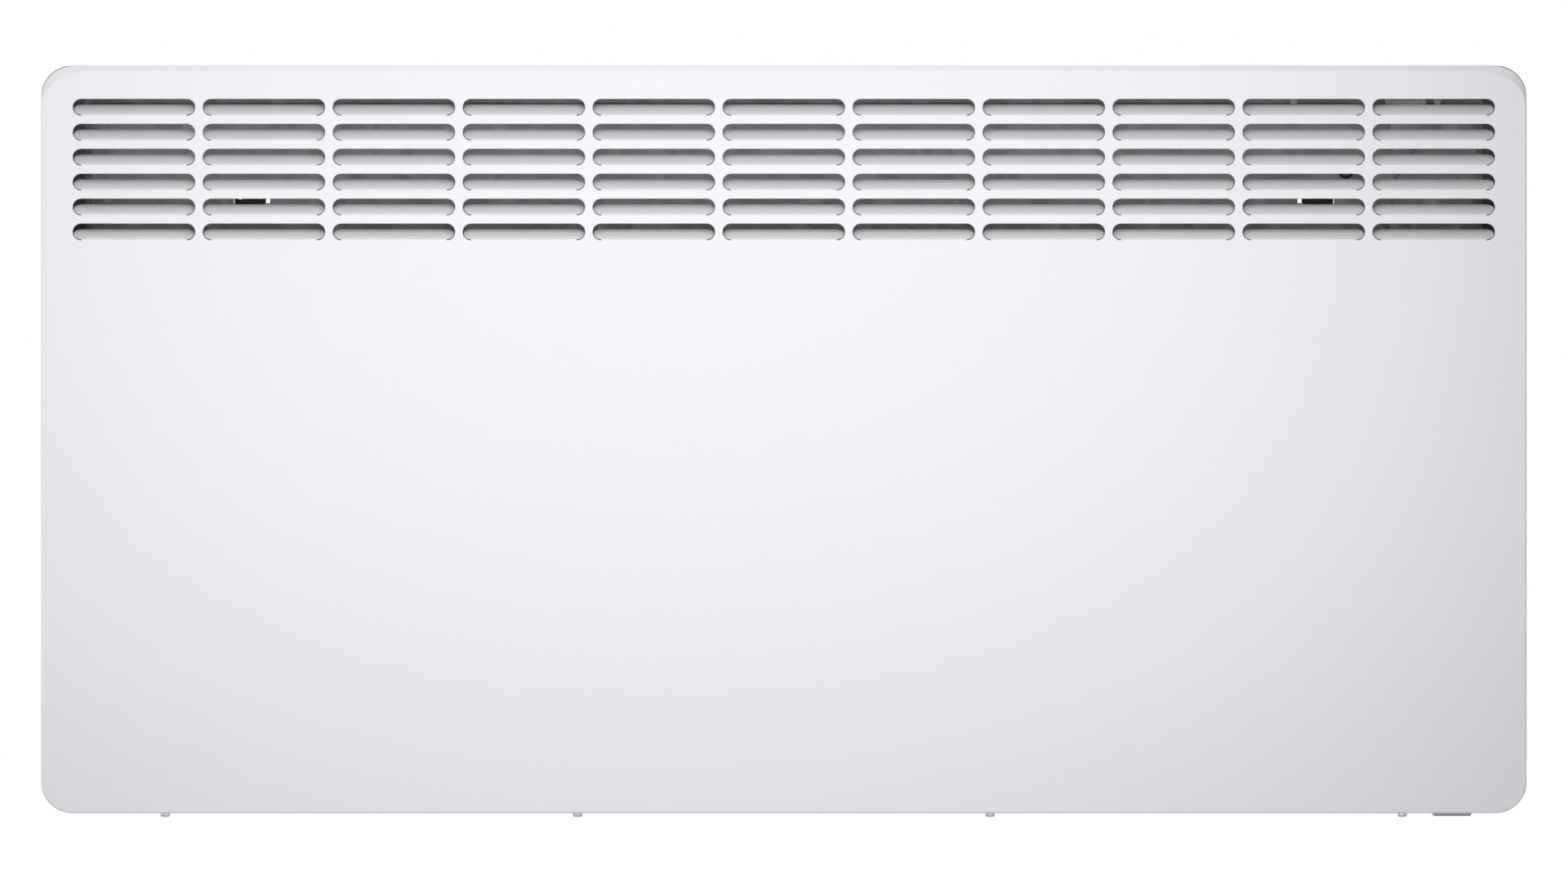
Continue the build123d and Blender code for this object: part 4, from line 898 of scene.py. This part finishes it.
rolled, given, made = new_group("rolled_lines", {"Lines": 1500.0, "Spots": 300.0}, ("Line", "Spot"))
stretched = add_node(rolled, "VectorMath", operation="MULTIPLY")
stretched.inputs[1].default_value = rolled_stretch
lines = add_node(rolled, "TexNoise", {"Detail": 4.0, "Roughness": 0.6})
spots = add_texture(rolled, given, "TexNoise", "Spots", {"Detail": 5.0, "Roughness": 0.7})
link(
    rolled,
    given.outputs["Vector"], stretched.inputs[0],
    stretched.outputs[0], lines.inputs["Vector"],
    given.outputs["Lines"], lines.inputs["Scale"],
    lines.outputs["Fac"], made.inputs["Line"],
    spots.outputs["Fac"], made.inputs["Spot"],
)
aluminised = surface(
    "aluminised_steel",
    rolled,
    {"Lines": 1500.0, "Spots": 300.0},
    ("Spot", shield_tones),
    ("Line", (0.30, 0.52)),
    ("Line", 0.08, fine_relief),
    {"Metallic": 1.0},
)
soften(aluminised, sheet_rounding, "front_heat_shield", "rear_heat_shield")

# ------------------------------------------------------------- safety cut-out
# A bimetal cut-out in a dark phenolic body, clamped to the rear heat shield, with brown
# silicone-insulated leads to the power box.
phenolic_tones = ((0.050, 0.036, 0.028, 1), (0.090, 0.064, 0.048, 1))
brown_tones = ((0.16, 0.075, 0.040, 1), (0.23, 0.110, 0.060, 1))
small_rounding = 0.0003
lead_sparks, lead_bump = 1200.0, 0.08

phenolic = moulded("dark_phenolic", phenolic_tones, (0.30, 0.50))
soften(phenolic, small_rounding, "safety_cutout")
brown_lead = moulded("brown_silicone_lead", brown_tones, (0.42, 0.60), lead_sparks, lead_bump)
dress(brown_lead, "cutout_leads", "element_leads", "switch_leads")

# ------------------------------------------------------------------- power box
# A box of flame-retardant grey plastic on four feet at the rear panel, screwed on from behind
# and closed by a lid.
box_tones = ((0.200, 0.205, 0.212, 1), (0.250, 0.255, 0.262, 1))

grey_plastic = moulded("grey_plastic", box_tones, (0.40, 0.56))
soften(grey_plastic, plastic_rounding, "power_box", "power_box_cover")

# ----------------------------------------------------------- boards and their parts
# Glass-fibre boards under green lacquer with copper tracks, and what is soldered to them: a
# relay, a suppressor, a heat sink, key switches and a row of screw terminals.
lacquer_tones = ((0.020, 0.110, 0.050, 1), (0.045, 0.210, 0.095, 1))
track_pitch = 0.0025
board_rounding = 0.0002
suppressor_tones = ((0.62, 0.44, 0.05, 1), (0.74, 0.54, 0.08, 1))
terminal_tones = ((0.62, 0.60, 0.54, 1), (0.72, 0.70, 0.64, 1))
can_tones = ((0.52, 0.52, 0.52, 1), (0.68, 0.68, 0.68, 1))

tracks, given, made = new_group("board_tracks", {"Pitch": 400.0}, ("Track", "Weave"))
cells = add_texture(
    tracks, given, "TexVoronoi", "Pitch", distance="MANHATTAN", feature="F1"
)
edges = add_node(tracks, "MapRange", {"From Min": 0.30, "From Max": 0.34})
weave = add_node(tracks, "TexNoise", {"Scale": 4000.0, "Detail": 2.0})
link(
    tracks,
    cells.outputs["Distance"], edges.inputs["Value"],
    given.outputs["Vector"], weave.inputs["Vector"],
    edges.outputs["Result"], made.inputs["Track"],
    weave.outputs["Fac"], made.inputs["Weave"],
)
board = surface(
    "lacquered_board",
    tracks,
    {"Pitch": 1 / track_pitch},
    ("Track", lacquer_tones),
    ("Weave", (0.30, 0.45)),
    ("Track", 0.2, fine_relief),
    {"Coat Weight": 0.4, "IOR": 1.5},
)
soften(board, board_rounding, "power_board", "control_board")
soften(black_plastic, plastic_rounding, "relay")
yellow_plastic = moulded("yellow_suppressor", suppressor_tones, (0.35, 0.50))
soften(yellow_plastic, plastic_rounding, "suppressor")
pale_plastic = moulded("pale_terminal_plastic", terminal_tones, (0.35, 0.50))
soften(pale_plastic, small_rounding, "terminal_block")
dress(metal("pressed_switch_can", can_tones, (0.3, 0.45)), "key_switches")

# ---------------------------------------------------------------------- earthing
# The sheet metal is earthed by a green and yellow lead from the top of the power box. Its
# crimped ring sits under a plated screw in the rear panel.
earth_tones = ((0.10, 0.24, 0.045, 1), (0.62, 0.55, 0.06, 1))
stripe_width = 0.002

earth_lead, tree, shader = new_material("striped_earth_lead", {"IOR": 1.5})
coordinates = add_node(tree, "TexCoord")
stripe = add_node(
    tree,
    "TexWave",
    {"Scale": 1 / (2 * pi * stripe_width), "Distortion": 0.0},
    bands_direction="X",
)
sharp = add_node(tree, "MapRange", {"From Min": 0.48, "From Max": 0.52})
link(
    tree,
    coordinates.outputs["Object"], stripe.inputs["Vector"],
    stripe.outputs["Fac"], sharp.inputs["Value"],
)
vary_colour(tree, shader, sharp.outputs["Result"], earth_tones)
used = use_group(tree, moulded_skin, {"Sparks": lead_sparks, "Flow": 60.0})
vary_roughness(tree, shader, used.outputs["Gloss"], (0.38, 0.52))
raise_surface(tree, shader, used.outputs["Height"], lead_bump, fine_relief)
dress(earth_lead, "earth_lead")

# ------------------------------------------------------------------- room sensor
# A resin-dipped bead beside the air inlet, with a thin grey lead. It is pushed into a black
# clip on the power box's side.
resin_tones = ((0.010, 0.014, 0.030, 1), (0.018, 0.024, 0.048, 1))
grey_lead_tones = ((0.30, 0.30, 0.31, 1), (0.38, 0.38, 0.39, 1))

soften(black_plastic, plastic_rounding, "sensor_clip")
dipped_resin = moulded("dipped_resin", resin_tones, (0.12, 0.22), values={"Coat Weight": 0.6})
dress(dipped_resin, "room_sensor")
dress(moulded("grey_lead", grey_lead_tones, (0.42, 0.58), lead_sparks, lead_bump), "sensor_lead")

# ------------------------------------------------------------------- mains switch
# A grey plastic housing snapped up into the casing's bottom, with a black rocker on two stub
# axles.
switch_tones = ((0.40, 0.40, 0.41, 1), (0.46, 0.46, 0.47, 1))
switch_rounding = 0.00035

soften(moulded("switch_grey", switch_tones), switch_rounding, "switch_housing")
soften(black_plastic, plastic_rounding, "rocker")

# On the rocker's face an I and an O are printed, one on each half.
print_tones = ((0.70, 0.71, 0.72, 1), (0.78, 0.79, 0.80, 1))
rocker_low, rocker_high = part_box("rocker")
print_stroke = 0.0007
letter_half = 0.0021
letter_y = {"I": -0.0665, "O": -0.0550}
letter_start = 0.001  # below the rocker, before the print is laid on
film_lift, film_thickness = 0.00003, 0.00005


def draw_ring(radius, width, centre):
    """Makes the selected circle a flat ring of a width, inwards."""
    bpy.ops.mesh.extrude_edges_move()
    inner = (radius - width) / radius
    bpy.ops.transform.resize(value=(inner, inner, 1), center_override=centre)


rocker_print = moulded("rocker_print", print_tones, (0.45, 0.60))
rocker_x = (rocker_low.x + rocker_high.x) / 2
for letter, middle_y in letter_y.items():
    centre = Vector((rocker_x, middle_y, rocker_low.z - letter_start))
    if letter == "I":
        mark = start_piece(
            "rocker_mark_on",
            bpy.ops.mesh.primitive_grid_add,
            x_subdivisions=1,
            y_subdivisions=8,
            size=1,
            location=centre,
        )
        bpy.ops.transform.resize(value=(print_stroke, 2 * letter_half, 1), center_override=centre)
    else:
        mark = start_piece(
            "rocker_mark_off",
            bpy.ops.mesh.primitive_circle_add,
            vertices=40,
            radius=letter_half,
            location=centre,
        )
        bpy.ops.mesh.select_all(action="SELECT")
        draw_ring(letter_half, print_stroke, centre)
    face_outwards()
    bpy.ops.object.mode_set(mode="OBJECT")
    apply_modifier(
        mark,
        "SHRINKWRAP",
        target=nodes["rocker"],
        wrap_method="PROJECT",
        wrap_mode="ABOVE_SURFACE",
        use_project_z=True,
        use_positive_direction=True,
        use_negative_direction=True,
        offset=film_lift,
    )
    apply_modifier(mark, "SOLIDIFY", thickness=film_thickness, offset=0)
    finish_piece(mark, rocker_print, "black_plastic", "rocker")

# ------------------------------------------------------------------- control unit
# A light grey plastic housing snapped up into the top wall, its deck flush with the wall. It
# holds a display behind a clear window, and four dark keys that press on switches.
deck_tones = ((0.62, 0.63, 0.64, 1), (0.68, 0.69, 0.70, 1))
key_tones = ((0.13, 0.132, 0.136, 1), (0.17, 0.172, 0.176, 1))
deck_rounding, key_rounding = 0.00035, 0.0005

deck_plastic = moulded("control_plastic", deck_tones, (0.40, 0.55))
soften(deck_plastic, deck_rounding, "control_housing")

# Its base is of a darker grey and has tapered snap tabs.
base_tones = ((0.40, 0.405, 0.41, 1), (0.46, 0.465, 0.47, 1))
snap_tab_places = (0.3070, 0.3936)
snap_tab_half = 0.006
snap_tab_narrowing = 0.72
base_rounding = 0.00025

base_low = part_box("control_base")[0]
base = copy_node("control_base")
for tab_x in snap_tab_places:
    select_where(
        base, lambda point: point.z < base_low.z + near and abs(point.x - tab_x) < snap_tab_half
    )
    bpy.ops.transform.resize(value=(snap_tab_narrowing, 1, 1), center_override=(tab_x, 0, 0))
bpy.ops.object.mode_set(mode="OBJECT")
apply_modifier(
    base, "BEVEL", width=base_rounding, segments=2, limit_method="ANGLE", use_clamp_overlap=False
)
base_plastic = moulded("base_plastic", base_tones)
finish_piece(base, base_plastic, "control_plastic", "heater", "control_base")
key_plastic = moulded("key_plastic", key_tones, (0.36, 0.5))
soften(key_plastic, key_rounding, "key_minus", "key_plus", "key_menu", "key_power", segments=3)

# The window is clear acrylic, and the display cell behind it has a pale green-grey backing.
cell_tones = ((0.30, 0.33, 0.29, 1), (0.36, 0.39, 0.34, 1))

clear, tree, shader = new_material(
    "clear_window", {"Transmission Weight": 1.0, "IOR": 1.49, "Base Color": (0.92, 0.93, 0.94, 1)}
)
used = use_group(tree, moulded_skin, {"Sparks": 300.0, "Flow": 30.0})
vary_roughness(tree, shader, used.outputs["Gloss"], (0.01, 0.04))
dress(clear, "display_window")
dress(moulded("display_cell", cell_tones, (0.2, 0.3)), "display_module")

# What is printed on the keys: minus, plus, three lines and a broken ring with a bar.
print_thickness = 0.00006
stroke = 0.0006
mark_half = 0.0018
line_pitch = 0.0013
ring_gap = radians(38)

key_print = moulded("pale_key_print", print_tones, (0.45, 0.60))


def middle_of_top(name):
    """The middle of a frame piece's upper side."""
    low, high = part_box(name)
    return Vector(((low.x + high.x) / 2, (low.y + high.y) / 2, high.z))


def add_strokes(name, place, strokes, corner=0):
    """Adds flat bars round a place on the deck: each has its centre's offset and its size.
    Their corners can be cut off."""
    piece = None
    for offset_x, offset_y, size_x, size_y in strokes:
        centre = place + Vector((offset_x, offset_y, 0))
        if piece:
            bpy.ops.mesh.select_all(action="DESELECT")
            bpy.ops.mesh.primitive_plane_add(size=1, location=centre)
        else:
            piece = start_piece(name, bpy.ops.mesh.primitive_plane_add, size=1, location=centre)
        bpy.ops.transform.resize(value=(size_x, size_y, 1), center_override=centre)
        if corner:
            bpy.ops.mesh.bevel(offset=corner, segments=1, affect="VERTICES")
    return piece


def extrude_flat(offset):
    """Extrudes the whole flat mesh in edit mode into a closed body."""
    bpy.ops.mesh.select_all(action="SELECT")
    bpy.ops.mesh.extrude_region_move(TRANSFORM_OT_translate={"value": offset})
    face_outwards()


key_marks = {
    "key_minus": ((0, 0, 2 * mark_half, stroke),),
    "key_plus": (
        (0, 0, 2 * mark_half, stroke),
        (0, (mark_half + stroke / 2) / 2, stroke, mark_half - stroke / 2),
        (0, -(mark_half + stroke / 2) / 2, stroke, mark_half - stroke / 2),
    ),
    "key_menu": tuple((0, row * line_pitch, 2 * mark_half, stroke) for row in (-1, 0, 1)),
    "key_power": ((0, mark_half - stroke / 2, stroke, mark_half),),
}
for key, strokes in key_marks.items():
    centre = middle_of_top(key)
    mark = add_strokes(key + "_mark", centre, strokes)
    if key == "key_power":
        bpy.ops.mesh.select_all(action="DESELECT")
        bpy.ops.mesh.primitive_circle_add(
            vertices=turned_steps, radius=mark_half, location=centre
        )
        draw_ring(mark_half, stroke, centre)
        select_where(
            mark,
            lambda point: mark_half - stroke - near < (point - centre).length < mark_half + near
            and abs(point.x - centre.x) < (point - centre).length * sin(ring_gap)
            and point.y > centre.y,
        )
        bpy.ops.mesh.delete(type="VERT")
    extrude_flat((0, 0, print_thickness))
    finish_piece(mark, key_print, "key_plastic", key)

# The liquid crystal cell shows a temperature in dark bars with their corners cut off.
bar_length, bar_width, bar_gap = 0.0056, 0.0011, 0.0003
bar_corner = 0.0003
point_radius = 0.0006875
digit_step = 0.0100
shown = "215"
lit_bars = {"2": "abged", "1": "bc", "5": "afgcd"}
# How many bars across and up from the digit's middle, and whether it stands upright
bar_places = {
    "a": (0, 1, False),
    "b": (0.5, 0.5, True),
    "c": (0.5, -0.5, True),
    "d": (0, -1, False),
    "e": (-0.5, -0.5, True),
    "f": (-0.5, 0.5, True),
    "g": (0, 0, False),
}
segment_tones = ((0.012, 0.014, 0.016, 1), (0.020, 0.022, 0.025, 1))

lying = (bar_length - bar_width, bar_width)
strokes = []
for index, digit in enumerate(shown):
    for bar in lit_bars[digit]:
        across, up, upright = bar_places[bar]
        offset_x = (index - 1) * digit_step + across * (bar_length + bar_gap)
        offset_y = up * (bar_length + bar_gap)
        strokes.append((offset_x, offset_y, *(lying[::-1] if upright else lying)))
centre = middle_of_top("display_module")
digits = add_strokes("display_digits", centre, strokes, bar_corner)
bpy.ops.mesh.select_all(action="DESELECT")
bpy.ops.mesh.primitive_circle_add(
    vertices=16,
    radius=point_radius,
    fill_type="NGON",
    location=centre + Vector((digit_step / 2, -bar_length - bar_gap, 0)),
)
extrude_flat((0, 0, print_thickness))
dark_segments = moulded("dark_segments", segment_tones, (0.3, 0.4))
finish_piece(digits, dark_segments, "display_module", "heater")

# ------------------------------------------------------------------- ribbon cable
# A flat cable of round conductors side by side in grey plastic, with painted shade along the
# grooves between them. It hangs from a connector with two latch ears under the control unit, turns
# edge-on and runs down to the power box.
conductors = 15
ribbon_width = 0.0188
ribbon_thickness = 0.0006
ridge_height = 0.0003
ribbon_y = -0.066
# Level, middle and turn about the vertical of the cable at each of its stations
ribbon_stations = (
    (-0.0852, 0.3450, 90),
    (0.0200, 0.3546, 90),
    (0.1250, 0.3641, 90),
    (0.1440, 0.3662, 90),
    (0.1585, 0.3688, 86),
    (0.1670, 0.3720, 72),
    (0.1740, 0.3738, 50),
    (0.1815, 0.3748, 22),
    (0.1880, 0.3749, 4),
    (0.1980, 0.3749, 0),
    (0.2055, 0.3749, 0),
)
ribbon_tones_with_groove_shade = ((0.20, 0.20, 0.205, 1), (0.66, 0.66, 0.67, 1))
cream_tones = ((0.50, 0.49, 0.45, 1), (0.57, 0.56, 0.52, 1))
far_above = 5.0

ribbon = start_piece(
    "ribbon_flat_cable",
    bpy.ops.mesh.primitive_grid_add,
    x_subdivisions=2 * conductors,
    y_subdivisions=len(ribbon_stations) - 1,
    size=1,
    location=(0, 0, far_above),
    rotation=(pi / 2, 0, 0),
)
for index in range(1, 2 * conductors, 2):
    place = index / (2 * conductors) - 0.5
    select_where(ribbon, lambda point: abs(point.x - place) < near)
    bpy.ops.transform.translate(value=(0, -ridge_height, 0))
for row, (level, middle_x, turn) in enumerate(ribbon_stations):
    height = far_above - 0.5 + row / (len(ribbon_stations) - 1)
    select_where(ribbon, lambda point: abs(point.z - height) < near)
    bpy.ops.transform.resize(value=(ribbon_width, 1, 1), center_override=(0, 0, height))
    bpy.ops.transform.translate(value=(middle_x, ribbon_y, level - height))
    bpy.ops.transform.rotate(
        value=radians(turn), orient_axis="Z", center_override=(middle_x, ribbon_y, level)
    )
bpy.ops.object.mode_set(mode="OBJECT")
apply_modifier(ribbon, "SUBSURF", levels=2, render_levels=2)
apply_modifier(ribbon, "SOLIDIFY", thickness=ribbon_thickness, offset=0)
ribbon_grey, tree, shader = new_material("ribbon_grey", {"IOR": 1.5})
across = add_node(tree, "UVMap")
counted = add_node(tree, "SeparateXYZ")
wires = add_node(tree, "Math", operation="MULTIPLY")
wires.inputs[1].default_value = conductors
within_wire = add_node(tree, "Math", operation="PINGPONG")
within_wire.inputs[1].default_value = 0.5
# The grey darkens towards the boundaries between conductors: painted shade in the grooves.
painted_groove_shade = add_node(tree, "MapRange", {"From Min": 0.10, "From Max": 0.32})
link(
    tree,
    across.outputs["UV"], counted.inputs[0],
    counted.outputs["X"], wires.inputs[0],
    wires.outputs[0], within_wire.inputs[0],
    within_wire.outputs[0], painted_groove_shade.inputs["Value"],
)
vary_colour(tree, shader, painted_groove_shade.outputs["Result"], ribbon_tones_with_groove_shade)
used = use_group(tree, moulded_skin, {"Sparks": lead_sparks, "Flow": 60.0})
vary_roughness(tree, shader, used.outputs["Gloss"], (0.35, 0.50))
raise_surface(tree, shader, used.outputs["Height"], 0.06, fine_relief)
finish_piece(ribbon, ribbon_grey, "ribbon_grey", "heater", "ribbon_cable")

cream = moulded("cream_connector", cream_tones, (0.35, 0.5))
soften(cream, small_rounding, "ribbon_plug")
# The connector's middle is short, and its latch ears hang down at both ends.
connector_low, connector_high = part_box("ribbon_connector")
connector_size = connector_high - connector_low
connector_middle = (connector_low + connector_high) / 2
connector_middle.y = connector_low.y
ear_width = 0.0031
ear_drop = 0.0030
connector = start_piece(
    "ribbon_connector_with_ears",
    bpy.ops.mesh.primitive_plane_add,
    size=1,
    location=connector_middle,
    rotation=(pi / 2, 0, 0),
)
bpy.ops.transform.resize(
    value=(connector_size.x, 1, connector_size.z), center_override=connector_middle
)
for place, across in (
    ((connector_low.x + ear_width, 0, 0), (1, 0, 0)),
    ((connector_high.x - ear_width, 0, 0), (1, 0, 0)),
    ((0, 0, connector_low.z + ear_drop), (0, 0, 1)),
):
    bpy.ops.mesh.select_all(action="SELECT")
    bpy.ops.mesh.bisect(plane_co=place, plane_no=across)
select_where(
    connector,
    lambda point: connector_low.x + ear_width - near < point.x < connector_high.x - ear_width + near
    and point.z < connector_low.z + ear_drop + near,
    "FACE",
)
bpy.ops.mesh.delete(type="FACE")
extrude_flat((0, connector_size.y, 0))
bpy.ops.object.mode_set(mode="OBJECT")
apply_modifier(connector, "BEVEL", width=small_rounding, segments=2, limit_method="ANGLE")
finish_piece(connector, cream, "connector_cream", "heater", "ribbon_connector")

# --------------------------------------------------------------------- cable gland
# A black polyamide gland in the power box's bottom, where the mains cord comes in. It is
# tightened by its fluted nut.
gland_low, gland_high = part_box("cable_gland")
gland_bore, gland_body, gland_nut = 0.0042, 0.0070, (gland_high.x - gland_low.x) / 2
gland_edge = 0.0008
nut_top = gland_low.z + 0.0022
nut_skin = 0.0004
flutes = 12
flute_depth = 0.0006
flute_shift = 0.25
# Height and radius: from the mouth over the nut, up the body and down the bore
gland_stations = (
    (gland_low.z + gland_edge, gland_bore),
    (gland_low.z, gland_bore + gland_edge),
    (gland_low.z, gland_nut - 0.0010),
    (gland_low.z + 0.0005, gland_nut - 0.0002),
    (nut_top - 0.0004, gland_nut),
    (nut_top, gland_nut - 0.0003),
    (nut_top, gland_body),
    (gland_high.z - gland_edge, gland_body),
    (gland_high.z, gland_body - gland_edge),
    (gland_high.z, gland_bore),
    (gland_low.z + gland_edge, gland_bore),
)
gland_centre = (gland_low + gland_high) / 2
gland_centre.z = 0
gland = add_turned("cable_gland_fluted", gland_centre, (0, 0, 1), gland_stations, capped=False)
select_where(
    gland,
    lambda point: (point - gland_centre).xy.length > gland_nut - nut_skin
    and (atan2(point.y - gland_centre.y, point.x - gland_centre.x) * flutes / pi + flute_shift)
    // 1 % 2,
)
narrowed = 1 - flute_depth / gland_nut
bpy.ops.transform.resize(value=(narrowed, narrowed, 1), center_override=gland_centre)
finish_piece(gland, black_plastic, "black_plastic", "heater", "cable_gland", smooth_below=30)

# ------------------------------------------------------------------- bottom straps
# Flat galvanised straps across the air inlet, from the front's lower lip to the rear panel.
# Each is held by a pan-head screw from below.
soften(galvanised, sheet_rounding, "bottom_straps")
